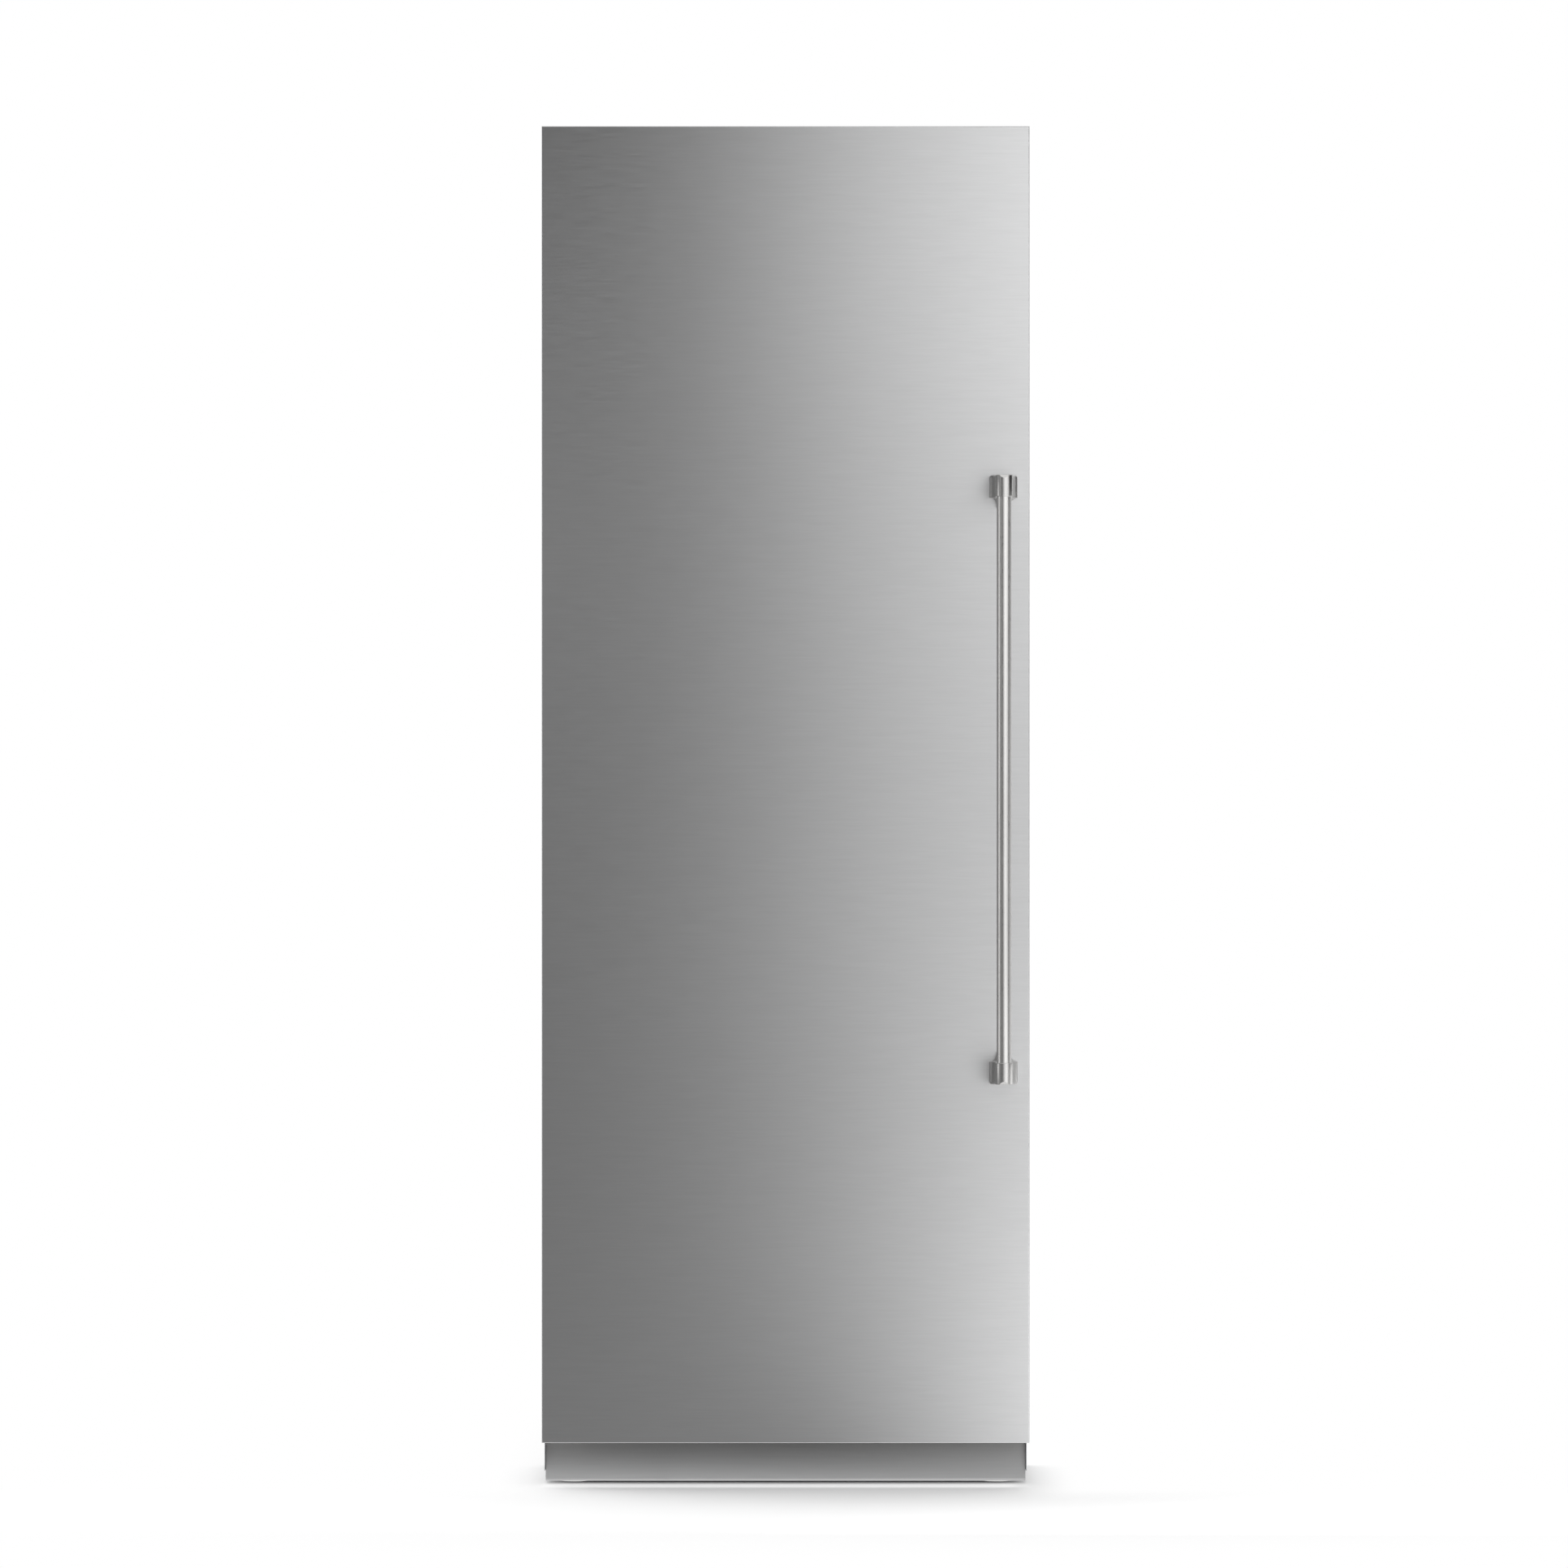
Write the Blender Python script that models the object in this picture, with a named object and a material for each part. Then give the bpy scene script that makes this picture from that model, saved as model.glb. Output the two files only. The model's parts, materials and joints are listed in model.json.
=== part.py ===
"""Column refrigerator: a tall built-in cooling cabinet with one door, on levelling legs and rollers.

Units are metres. +Z is up and the door faces -Y. The origin is on the floor, in the middle of the
object's box. The door is hinged along its -X edge and carries an upright bar handle near its +X edge.
Pieces that touch keep the gap FIT.
"""
import math

import bmesh
import bpy
from mathutils import Matrix, Vector

# Gaps, cuts and facets
FIT = 0.0003
OVERRUN = 0.004
EMBED = 0.001
MERGE_DISTANCE = 0.00001
EDGE_ROUND = 0.001
CORNER_STEPS = 2
BEND_STEPS = 3
ROUND_SIDES = 20
FINE_SIDES = 24
SMALL_SIDES = 10
SMOOTH_ANGLE = math.radians(40)

# Door front panel: a folded steel pan over a board
PANEL_WIDTH = 0.756
PANEL_HEIGHT = 2.041
PANEL_LIFT = 0.067
PANEL_DEPTH = 0.020
PANEL_SHEET = 0.0012
PANEL_BEND = 0.0018

# Insulated door leaf behind the panel
DOOR_LIFT = 0.013
DOOR_DROP = 0.014
DOOR_SHELL_DEPTH = 0.0424
DOOR_SHEET = 0.001
DOOR_LINER_SHEET = 0.002
DYKE_SIDE_CLEARANCE = 0.010
DYKE_END_CLEARANCE = 0.015
DYKE_WIDTH = 0.030
DYKE_HEIGHT = 0.060
DYKE_DRAFT = 0.002
DYKE_CORNER = 0.012
GASKET_DEPTH = 0.0094
GASKET_WIDTH = 0.016
GASKET_MARGIN = 0.013
GASKET_PROFILE_SHARES = ((0.0, 0.0), (0.16, 0.35), (0.02, 0.7), (0.12, 1.0),
                         (0.88, 1.0), (0.98, 0.7), (0.84, 0.35), (1.0, 0.0))

# Door hinge: a pin in a bushing at each end of the leaf
HINGE_INSET = 0.016
HINGE_SETBACK = 0.040
HINGE_NOSE_RADIUS = 0.0115
HINGE_NECK_LEFT = 0.0085
HINGE_NECK_RIGHT = 0.045
HINGE_NOSE_STEPS = 8
UPPER_PLATE_THICKNESS = 0.004
UPPER_PLATE_LENGTH = 0.085
LOWER_PLATE_THICKNESS = 0.006
PIN_RADIUS = 0.005
PIN_ENGAGEMENT = 0.020
BUSHING_RADIUS = 0.008
BUSHING_FLANGE_RADIUS = 0.011
BUSHING_FLANGE = 0.0015
BUSHING_LENGTH = 0.024

# Bar handle and its two end mounts
HANDLE_LENGTH = 0.942
HANDLE_RISE = 0.557
HANDLE_EDGE_DISTANCE = 0.0402
HANDLE_STANDOFF = 0.050
BAR_RADIUS = 0.0115
BAR_ENGAGEMENT = 0.026
FERRULE_RADIUS = 0.0135
FERRULE_LENGTH = 0.033
FERRULE_BEVEL = 0.0006
FACET_HEIGHT = 0.0042
FACET_DEPTH = 0.0022
MOUNT_WIDTH = 0.043
MOUNT_STRAIGHT = 0.034
MOUNT_FLARE = 0.015
MOUNT_TIP_WIDTH = 0.020
MOUNT_CHAMFER = 0.004
MOUNT_LEAD = 0.001
FLARE_STEPS = 4
MOUNT_SECTION_SHARES = ((0.0, 1.0, 1.0), (0.09, 1.0, 1.0), (0.17, 0.86, 0.62),
                        (0.30, 0.74, 0.34), (0.50, 0.65, 0.14), (0.90, 0.60, 0.04))
FACET_OVERCUT_SHARE = 0.8
STUD_RADIUS = 0.004
STUD_REACH = 0.017

# Cabinet box
PANEL_OVERHANG = 0.003
CASE_DEPTH = 0.560
CASE_DROP = 0.0063
CASE_SHEET = 0.001
REAR_SHEET = 0.0015
SIDE_INSULATION = 0.050
CEILING_INSULATION = 0.0537
FLOOR_INSULATION = 0.056
REAR_INSULATION = 0.050
LINER_SHEET = 0.002
LINER_CORNER = 0.018
FRAME_SHEET = 0.002
FRAME_OVERHANG = 0.004
DECK_HEIGHT = 0.219
SKIRT_BOTTOM = 0.020

# Base tray, kickplate and grilles
TRAY_BOTTOM = 0.020
TRAY_SHEET = 0.002
TRAY_RIM = 0.068
TRAY_SETBACK = 0.040
POST_WIDTH = 0.030
POST_SHEET = 0.003
FRONT_POST_SETBACK = 0.060
SEAT_WIDTH = 0.072
SEAT_DEPTH = 0.034
KICK_SETBACK = 0.025
KICK_BOTTOM = 0.003
KICK_SHEET = 0.0015
KICK_HEM = 0.010
KICK_BEND = 0.004
GRILLE_LIFT = 0.002
GRILLE_MARGIN = 0.024
GRILLE_ROWS = 5
GRILLE_COLUMNS = 4
GRILLE_BAR = 0.014
ACCESS_BOTTOM = 0.024
ACCESS_ROWS = 4
ACCESS_COLUMNS = 4
ACCESS_BAR = 0.016
ACCESS_VENT_WIDTH = 0.420

# Levelling legs and rear rollers
LEG_INSET = 0.045
LEG_SETBACK = 0.085
LEG_STEM_RADIUS = 0.006
LEG_STEM_LENGTH = 0.075
LEG_FOOT_RADIUS = 0.020
LEG_FOOT_HEIGHT = 0.008
LEG_FOOT_BEVEL = 0.002
LEG_COLLAR_RADIUS = 0.009
LEG_COLLAR_HEIGHT = 0.004
BOSS_RADIUS = 0.011
BOSS_HEIGHT = 0.012
ROLLER_INSET = 0.045
ROLLER_SETBACK = 0.075
ROLLER_RADIUS = 0.022
ROLLER_WIDTH = 0.020
ROLLER_BEVEL = 0.002
ROLLER_CLEARANCE = 0.0012
ROLLER_SLOT_MARGIN = 0.003
AXLE_RADIUS = 0.004
CHEEK_SHEET = 0.0026
CHEEK_HEIGHT = 0.022
CHEEK_LENGTH = 0.024

# Machine compartment
COMPRESSOR_INSET = 0.185
COMPRESSOR_SETBACK = 0.165
COMPRESSOR_RADIUS = 0.078
COMPRESSOR_BODY_BOTTOM = 0.044
COMPRESSOR_BODY_HEIGHT = 0.158
COMPRESSOR_PROFILE_SHARES = ((0.45, 0.0), (0.80, 0.03), (0.95, 0.11), (0.97, 0.50), (1.0, 0.53),
                             (1.0, 0.57), (0.96, 0.60), (0.94, 0.82), (0.78, 0.95), (0.40, 1.0))
COMPRESSOR_PLATE_HALF = 0.082
COMPRESSOR_PLATE_SHEET = 0.003
COMPRESSOR_LEG_RADIUS = 0.009
COMPRESSOR_LEG_SPREAD = 0.066
STUB_RADIUS = 0.004
STUB_LENGTH = 0.022
STUB_HEIGHT_SHARE = 0.72
TERMINAL_WIDTH = 0.044
TERMINAL_HEIGHT = 0.050
TERMINAL_REACH = 0.022
TERMINAL_HEIGHT_SHARE = 0.34
CONDENSER_INSET = 0.085
CONDENSER_WIDTH = 0.130
CONDENSER_SETBACK = 0.115
CONDENSER_LENGTH = 0.230
CONDENSER_HEIGHT = 0.160
CONDENSER_FINS = 6
CONDENSER_TUBES = 4
EVAPORATOR_FINS = 6
EVAPORATOR_TUBES = 4
FIN_SHEET = 0.0016
TUBE_RADIUS = 0.005
TUBE_STUB = 0.016
TUBE_SIDES = 6
TUBE_BEND_STEPS = 4
SHROUD_GAP = 0.030
SHROUD_SHEET = 0.002
SHROUD_MARGIN = 0.012
SHROUD_BORE_CLEARANCE = 0.005
STRUT_WIDTH = 0.008
STRUT_THICKNESS = 0.004
MOTOR_RADIUS = 0.022
MOTOR_LENGTH = 0.034
MOTOR_SHAFT_RADIUS = 0.0025
MOTOR_BEVEL = 0.003
FAN_RADIUS = 0.072
FAN_DEPTH = 0.018
FAN_BLADES = 5
HUB_RADIUS = 0.018
HUB_BLIND_SHARE = 0.8
BLADE_THICKNESS = 0.0018
BLADE_SECTION_SHARES = ((0.80, 0.26, 42.0), (1.9, 0.36, 32.0), (4.0, 0.50, 22.0))
EVAPORATOR_FAN_RADIUS = 0.052
DRAIN_PAN_WIDTH = 0.250
DRAIN_PAN_LENGTH = 0.150
DRAIN_PAN_HEIGHT = 0.034
DRAIN_PAN_WALL = 0.0025
DRAIN_PAN_INSET = 0.085
DRAIN_PAN_SETBACK = 0.030
DRAIN_PAN_DRAFT = 0.006
CONTROL_BOX_WIDTH = 0.110
CONTROL_BOX_LENGTH = 0.130
CONTROL_BOX_HEIGHT = 0.085
CONTROL_BOX_INSET = 0.020
CONTROL_BOX_SETBACK = 0.150
CONTROL_BOX_LID_STEP = 0.003
CONTROL_BOX_LID_SHARE = 0.82
INLET_WIDTH = 0.028
INLET_HEIGHT = 0.020
INLET_DEPTH = 0.024
INLET_FLANGE = 0.006
INLET_FLANGE_SHEET = 0.002
INLET_WALL = 0.003
INLET_SOCKET_DEPTH = 0.016
INLET_BLADE_WIDTH = 0.004
INLET_BLADE_SHEET = 0.002
INLET_BLADE_LENGTH = 0.012
INLET_BLADE_SPREAD = 0.007
INLET_INSET = 0.120
INLET_LEVEL = 0.120
DRIER_RADIUS = 0.010
DRIER_LENGTH = 0.052
DRIER_PROFILE_SHARES = ((0.5, 0.0), (0.5, 0.10), (1.0, 0.24), (1.0, 0.76), (0.3, 0.90), (0.3, 1.0))
LINE_RADIUS = 0.003
LINE_BEND_SIDES = 1
LINE_STEPS = 4

# Air cover, coil and fan behind the food space
COVER_DEPTH = 0.050
COVER_SHEET = 0.0025
COVER_BEND = 0.002
VENT_LEVEL_SHARES = (0.44, 0.66, 0.88)
VENT_SPREAD = 0.100
VENT_WIDTH = 0.060
VENT_HEIGHT = 0.006
VENT_PITCH = 0.014
VENTS_IN_GROUP = 3
RETURN_VENTS = 6
RETURN_VENT_BAR = 0.022
RETURN_VENT_MARGIN = 0.060
RETURN_VENT_HEIGHT = 0.008
RETURN_VENT_RISE = 0.214
FAN_GRILLE_BARS = 7
FAN_GRILLE_PITCH = 0.013
FAN_GRILLE_SLOT = 0.007
FAN_GRILLE_RADIUS = 0.046
EVAPORATOR_FAN_RISE = 0.760
EVAPORATOR_RISE = 0.420
EVAPORATOR_WIDTH = 0.340
EVAPORATOR_HEIGHT = 0.240
EVAPORATOR_DEPTH = 0.036
EVAPORATOR_FAN_GAP = 0.004
EVAPORATOR_MOTOR_LENGTH = 0.018
EVAPORATOR_MOTOR_RADIUS = 0.019
EVAPORATOR_FAN_DEPTH = 0.014

# Shelf ladders and cantilever glass shelves
LADDER_SPREAD = 0.200
LADDER_WIDTH = 0.024
LADDER_DEPTH = 0.010
LADDER_WEB = 0.002
LADDER_RISE = 0.360
LADDER_DROP = 0.060
LADDER_PITCH = 0.050
LADDER_MARGIN = 0.030
SLOT_HEIGHT = 0.020
ARM_THICKNESS = 0.005
SLOT_SIDE_CLEARANCE = 0.0005
HOOK_HEIGHT = 0.010
HOOK_DROP = 0.008
HOOK_THICKNESS = 0.003
ARM_ROOT_HEIGHT = 0.080
ARM_TIP_HEIGHT = 0.016
ARM_RELIEF = 0.0005
ARM_TOP_ABOVE_SLOT = 0.024
SHELF_SETBACK = 0.130
SHELF_SIDE_CLEARANCE = 0.007
RAIL_LIP = 0.004
RAIL_LEDGE = 0.022
RAIL_DROP = 0.012
RAIL_PLATE = 0.004
REAR_RAIL_CLEARANCE = 0.012
GLASS_THICKNESS = 0.005
GLASS_BEVEL = 0.001
SHELF_PLACES = ("lower", "middle", "upper")
SHELF_SLOT_SHARES = (0.125, 0.46, 0.75)

# Drawers
DRAWER_SETBACK = 0.145
DRAWER_LENGTH = 0.300
DRAWER_WALL = 0.0025
DRAWER_FLANGE = 0.010
DRAWER_FLANGE_SHEET = 0.004
DRAWER_DRAFT = 0.005
DRAWER_CORNER = 0.008
DRAWER_FRONT = 0.006
DRAWER_FRONT_ROUND = 0.002
DRAWER_SIDE_GAP = 0.003
DRAWER_LIP_HEIGHT = 0.012
DRAWER_LIP_REACH = 0.007
DELI_HEIGHT = 0.105
DELI_HANG = 0.041
RUNNER_SHEET = 0.003
RUNNER_LEDGE = 0.009
CRISPER_SIDE_CLEARANCE = 0.025
CRISPER_LIFT = 0.008
CRISPER_LEDGE_RISE = 0.155
CRISPER_LEDGE = 0.006
CRISPER_GLASS_RISE = 0.177
CRISPER_FRAME_HEIGHT = 0.018
CRISPER_FRAME_BAR = 0.022
CRISPER_REBATE = 0.008
CRISPER_FRAME_SETBACK = 0.137
CRISPER_FRAME_REAR_CLEARANCE = 0.004
HANGER_WEB = 0.003
HANGER_FLANGE = 0.018

# Door bins and dairy box
BIN_PLACES = ("lower", "middle", "upper")
BIN_RISE = 0.060
BIN_HEIGHT = 0.100
BIN_DEPTH = 0.103
BIN_WALL = 0.003
BIN_DRAFT = 0.006
BIN_CORNER = 0.010
BIN_BACK_GAP = 0.002
BIN_END = 0.012
BIN_END_DEPTH = 0.044
BIN_END_LIFT_SHARE = 0.25
LUG_WIDTH = 0.009
LUG_HEIGHT = 0.020
LUG_REACH = 0.008
LUG_SETBACK = 0.018
LUG_DROP = 0.010
LUG_CLEARANCE = 0.0006
DAIRY_DROP = 0.328
DAIRY_HEIGHT = 0.085
DAIRY_DEPTH = 0.078
LID_SHEET = 0.003
LID_FLAP = 0.056
LID_GAP = 0.001
LID_KNUCKLE_RADIUS = 0.003
LID_PIN_RADIUS = 0.0015
LID_PIN_REACH = 0.0025
EAR_SHEET = 0.004
EAR_DEPTH = 0.014
EAR_GAP = 0.001

# Control panel and ceiling lamp
CONTROL_WIDTH = 0.460
CONTROL_SETBACK = 0.062
CONTROL_FACE_RUN = 0.020
CONTROL_DEPTH = 0.110
CONTROL_HEIGHT = 0.030
LAMP_WIDTH = 0.420
LAMP_DEPTH = 0.160
LAMP_SETBACK = 0.200
LAMP_THICKNESS = 0.006
LAMP_BEVEL = 0.003

# Levels and places worked out from the sizes above
HALF_CASE = PANEL_WIDTH / 2 - PANEL_OVERHANG
PANEL_TOP = PANEL_LIFT + PANEL_HEIGHT
HANDLE_REACH = HANDLE_STANDOFF + FERRULE_RADIUS
LEAF_DEPTH = PANEL_DEPTH + DOOR_SHELL_DEPTH + DOOR_LINER_SHEET + GASKET_DEPTH + 4 * FIT
PANEL_FRONT = (HANDLE_REACH - LEAF_DEPTH - CASE_DEPTH) / 2
PANEL_BACK = PANEL_FRONT + PANEL_DEPTH
SHELL_FRONT = PANEL_BACK + FIT
SHELL_BACK = SHELL_FRONT + DOOR_SHELL_DEPTH
LINER_FRONT = SHELL_BACK + FIT
LINER_FACE = LINER_FRONT + DOOR_LINER_SHEET
GASKET_FRONT = LINER_FACE + FIT
CASE_FRONT = PANEL_FRONT + LEAF_DEPTH
CASE_BACK = CASE_FRONT + CASE_DEPTH
BOX_FRONT = CASE_FRONT + FRAME_SHEET + FIT
BOX_BACK = CASE_BACK - REAR_SHEET - FIT
CAVITY_BACK = CASE_BACK - REAR_INSULATION
CASE_TOP = PANEL_TOP - CASE_DROP
CAVITY_BOTTOM = DECK_HEIGHT + FLOOR_INSULATION
CAVITY_TOP = CASE_TOP - CEILING_INSULATION
HALF_CAVITY = HALF_CASE - SIDE_INSULATION
FRAME_BOTTOM = DECK_HEIGHT - FRAME_OVERHANG
DOOR_BOTTOM = PANEL_LIFT + DOOR_LIFT
DOOR_TOP = PANEL_TOP - DOOR_DROP
PIVOT_X = HINGE_INSET - PANEL_WIDTH / 2
PIVOT_Y = PANEL_FRONT + HINGE_SETBACK
BAR_X = PANEL_WIDTH / 2 - HANDLE_EDGE_DISTANCE
BAR_Y = PANEL_FRONT - HANDLE_STANDOFF
HANDLE_BOTTOM = PANEL_LIFT + HANDLE_RISE
HANDLE_TOP = HANDLE_BOTTOM + HANDLE_LENGTH
LOWER_PLATE_TOP = DOOR_BOTTOM - BUSHING_FLANGE - 2 * FIT
LOWER_PLATE_BOTTOM = LOWER_PLATE_TOP - LOWER_PLATE_THICKNESS
GRILLE_BOTTOM = LOWER_PLATE_TOP + GRILLE_LIFT
UPPER_PLATE_BOTTOM = CASE_TOP + FIT
TRAY_FRONT = CASE_FRONT + TRAY_SETBACK
TRAY_FLOOR = TRAY_BOTTOM + TRAY_SHEET
TRAY_HALF = HALF_CASE - CASE_SHEET - FIT
LEG_X = HALF_CASE - LEG_INSET
LEG_Y = CASE_FRONT + LEG_SETBACK
ROLLER_X = HALF_CASE - ROLLER_INSET
ROLLER_Y = CASE_BACK - ROLLER_SETBACK
COMPRESSOR_X = HALF_CASE - COMPRESSOR_INSET
COMPRESSOR_Y = CASE_BACK - COMPRESSOR_SETBACK
COVER_FRONT = CAVITY_BACK - COVER_DEPTH
LADDER_FRONT = COVER_FRONT - FIT - LADDER_DEPTH
LADDER_BOTTOM = CAVITY_BOTTOM + LADDER_RISE
ARM_BACK = LADDER_FRONT - FIT
SHELF_FRONT = CASE_FRONT + SHELF_SETBACK
SHELF_BACK = ARM_BACK - REAR_RAIL_CLEARANCE
SHELF_HALF = HALF_CAVITY - SHELF_SIDE_CLEARANCE
DRAWER_FACE = CASE_FRONT + DRAWER_SETBACK
EVAPORATOR_FAN_Z = CAVITY_BOTTOM + EVAPORATOR_FAN_RISE
DYKE_INSIDE = HALF_CAVITY - DYKE_SIDE_CLEARANCE - DYKE_WIDTH
BIN_BACK = LINER_FACE + BIN_BACK_GAP
LID_AXIS_Y = BIN_BACK + LID_KNUCKLE_RADIUS + LID_GAP
CONDENSER_LEFT = -HALF_CASE + CONDENSER_INSET
CONDENSER_RIGHT = CONDENSER_LEFT + CONDENSER_WIDTH
CONDENSER_FRONT = CASE_FRONT + CONDENSER_SETBACK
CONDENSER_BACK = CONDENSER_FRONT + CONDENSER_LENGTH
CONDENSER_TOP = TRAY_FLOOR + FIT + CONDENSER_HEIGHT
SHROUD_X = CONDENSER_RIGHT + SHROUD_GAP
CONDENSER_FAN_Y = (CONDENSER_FRONT + CONDENSER_BACK) / 2
CONDENSER_FAN_Z = TRAY_FLOOR + FIT + SHROUD_MARGIN + FAN_RADIUS + SHROUD_BORE_CLEARANCE
FAN_START_X = SHROUD_X + SHROUD_SHEET + FIT
MOTOR_START_X = FAN_START_X + FAN_DEPTH + EVAPORATOR_FAN_GAP

BIN_BOTTOM = CAVITY_BOTTOM + BIN_RISE
DAIRY_LEVEL = CAVITY_TOP - DAIRY_DROP
BIN_PITCH = (DAIRY_LEVEL - BIN_BOTTOM) / len(BIN_PLACES)
BIN_LEVELS = {place: BIN_BOTTOM + index * BIN_PITCH for index, place in enumerate(BIN_PLACES)}
LADDER_SLOTS = int((CAVITY_TOP - LADDER_DROP - LADDER_BOTTOM - 2 * LADDER_MARGIN) / LADDER_PITCH)
CRISPER_HALF = HALF_CAVITY - CRISPER_SIDE_CLEARANCE
LID_AXIS_Z = DAIRY_LEVEL + DAIRY_HEIGHT + LID_KNUCKLE_RADIUS + LID_GAP

# Boxes drawn on the front plane: left, right, bottom, top
PANEL_BOX = (-PANEL_WIDTH / 2, PANEL_WIDTH / 2, PANEL_LIFT, PANEL_TOP)
DOOR_BOX = (-HALF_CASE, HALF_CASE, DOOR_BOTTOM, DOOR_TOP)
CAVITY_BOX = (-HALF_CAVITY, HALF_CAVITY, CAVITY_BOTTOM, CAVITY_TOP)
DYKE_BOX = (-HALF_CAVITY + DYKE_SIDE_CLEARANCE, HALF_CAVITY - DYKE_SIDE_CLEARANCE,
            CAVITY_BOTTOM + DYKE_END_CLEARANCE, CAVITY_TOP - DYKE_END_CLEARANCE)

# Finishes: colour, roughness, metallic
FINISHES = {
    "brushed_steel": ((0.56, 0.565, 0.57, 1.0), 0.32, 1.0),
    "polished_steel": ((0.62, 0.62, 0.61, 1.0), 0.18, 1.0),
    "zinc_steel": ((0.50, 0.51, 0.52, 1.0), 0.45, 1.0),
    "grey_paint": ((0.42, 0.43, 0.44, 1.0), 0.50, 0.0),
    "black_paint": ((0.03, 0.03, 0.032, 1.0), 0.45, 0.0),
    "white_plastic": ((0.80, 0.81, 0.81, 1.0), 0.35, 0.0),
    "clear_plastic": ((0.75, 0.80, 0.82, 1.0), 0.10, 0.0),
    "grey_plastic": ((0.35, 0.36, 0.37, 1.0), 0.45, 0.0),
    "black_plastic": ((0.04, 0.04, 0.042, 1.0), 0.40, 0.0),
    "grey_rubber": ((0.22, 0.22, 0.23, 1.0), 0.75, 0.0),
    "yellow_foam": ((0.72, 0.62, 0.36, 1.0), 0.90, 0.0),
    "fibre_board": ((0.45, 0.33, 0.20, 1.0), 0.85, 0.0),
    "glass": ((0.70, 0.82, 0.80, 1.0), 0.05, 0.0),
    "copper": ((0.72, 0.38, 0.22, 1.0), 0.30, 1.0),
    "aluminium": ((0.72, 0.73, 0.74, 1.0), 0.35, 1.0),
}


# Planes to draw on. Each turns two drawn distances and a level into a point.
def front_plane(across, up, back):
    return Vector((across, back, up))


def top_plane(across, back, up):
    return Vector((across, back, up))


def side_plane(back, up, across):
    return Vector((across, back, up))


# Outlines
def grown(box, amount):
    """A box moved outwards by amount on all sides, or inwards where amount is negative."""
    low_u, high_u, low_v, high_v = box
    return low_u - amount, high_u + amount, low_v - amount, high_v + amount


def corners(box):
    low_u, high_u, low_v, high_v = box
    return [(low_u, low_v), (high_u, low_v), (high_u, high_v), (low_u, high_v)]


def arc(centre_u, centre_v, radius, start, stop, steps):
    """Points along an arc, with its angles in degrees."""
    points = []
    for step in range(steps + 1):
        angle = math.radians(start + (stop - start) * step / steps)
        points.append((centre_u + radius * math.cos(angle), centre_v + radius * math.sin(angle)))
    return points


def rounded(box, radius):
    low_u, high_u, low_v, high_v = grown(box, -radius)
    points = []
    for centre_u, centre_v, start in ((high_u, low_v, -90), (high_u, high_v, 0),
                                      (low_u, high_v, 90), (low_u, low_v, 180)):
        points += arc(centre_u, centre_v, radius, start, start + 90, CORNER_STEPS)
    return points


def circle(centre_u, centre_v, radius, sides):
    return arc(centre_u, centre_v, radius, 0, 360 - 360 / sides, sides - 1)


# Solids
def add_loft(bm, plane, rings, closed=False):
    """Join outlines of equal length by faces. Each ring is its points and its level."""
    loops = [[bm.verts.new(plane(u, v, level)) for u, v in points] for points, level in rings]
    pairs = list(zip(loops, loops[1:]))
    if closed:
        pairs.append((loops[-1], loops[0]))
    else:
        bm.faces.new(loops[0])
        bm.faces.new(loops[-1])
    for near, far in pairs:
        for index in range(len(near)):
            bm.faces.new((near[index - 1], near[index], far[index], far[index - 1]))


def add_prism(bm, plane, outer, start, stop, holes=()):
    """Extrude an outline, with any holes in it, from one level to another."""
    if not holes:
        add_loft(bm, plane, [(outer, start), (outer, stop)])
        return
    edges = []
    for loop in (outer, *holes):
        verts = [bm.verts.new(plane(u, v, start)) for u, v in loop]
        edges += [bm.edges.new((verts[index - 1], verts[index])) for index in range(len(verts))]
    filled = bmesh.ops.triangle_fill(bm, edges=edges, use_beauty=True, use_dissolve=False)
    faces = [item for item in filled["geom"] if isinstance(item, bmesh.types.BMFace)]
    extruded = bmesh.ops.extrude_face_region(bm, geom=faces)
    moved = [item for item in extruded["geom"] if isinstance(item, bmesh.types.BMVert)]
    bmesh.ops.translate(bm, vec=plane(0, 0, stop - start), verts=moved)


def add_box(bm, x_span, y_span, z_span):
    add_prism(bm, top_plane, corners((*x_span, *y_span)), *z_span)


def add_turned(bm, plane, centre, profile, sides, closed=False):
    """Turn a profile of radius and level pairs about a line through centre, square to the plane."""
    rings = [(circle(*centre, radius, sides), level) for radius, level in profile]
    add_loft(bm, plane, rings, closed)


def add_pan(bm, plane, box, face, rim, sheet, bend, corner=0):
    """A pan folded from sheet: closed at the level face, open at the level rim."""
    way = 1 if rim > face else -1

    def ring(inset, level):
        inner = grown(box, -inset)
        return (rounded(inner, max(corner - inset, EDGE_ROUND)) if corner else corners(inner)), level

    rings = []
    for step in range(BEND_STEPS + 1):
        angle = math.radians(90 * step / BEND_STEPS)
        rings.append(ring(bend * (1 - math.sin(angle)), face + way * bend * (1 - math.cos(angle))))
    rings += [ring(0, rim), ring(sheet, rim), ring(sheet, face + way * sheet)]
    add_loft(bm, plane, rings)


def add_tub(bm, box, bottom, top, wall, draft, corner, flange=0, flange_sheet=0):
    """An open tub with sides that lean out, and a flange round its rim if one is given."""
    rings = [(rounded(grown(box, -draft - EDGE_ROUND), corner), bottom),
             (rounded(grown(box, -draft), corner), bottom + EDGE_ROUND)]
    if flange:
        rings.append((rounded(box, corner), top - flange_sheet))
        rings.append((rounded(grown(box, flange), corner), top - flange_sheet))
        rings.append((rounded(grown(box, flange), corner), top))
    else:
        rings.append((rounded(box, corner), top))
    rings.append((rounded(grown(box, -wall), corner - wall), top))
    rings.append((rounded(grown(box, -wall - draft), corner - wall), bottom + wall))
    add_loft(bm, top_plane, rings)


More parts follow.
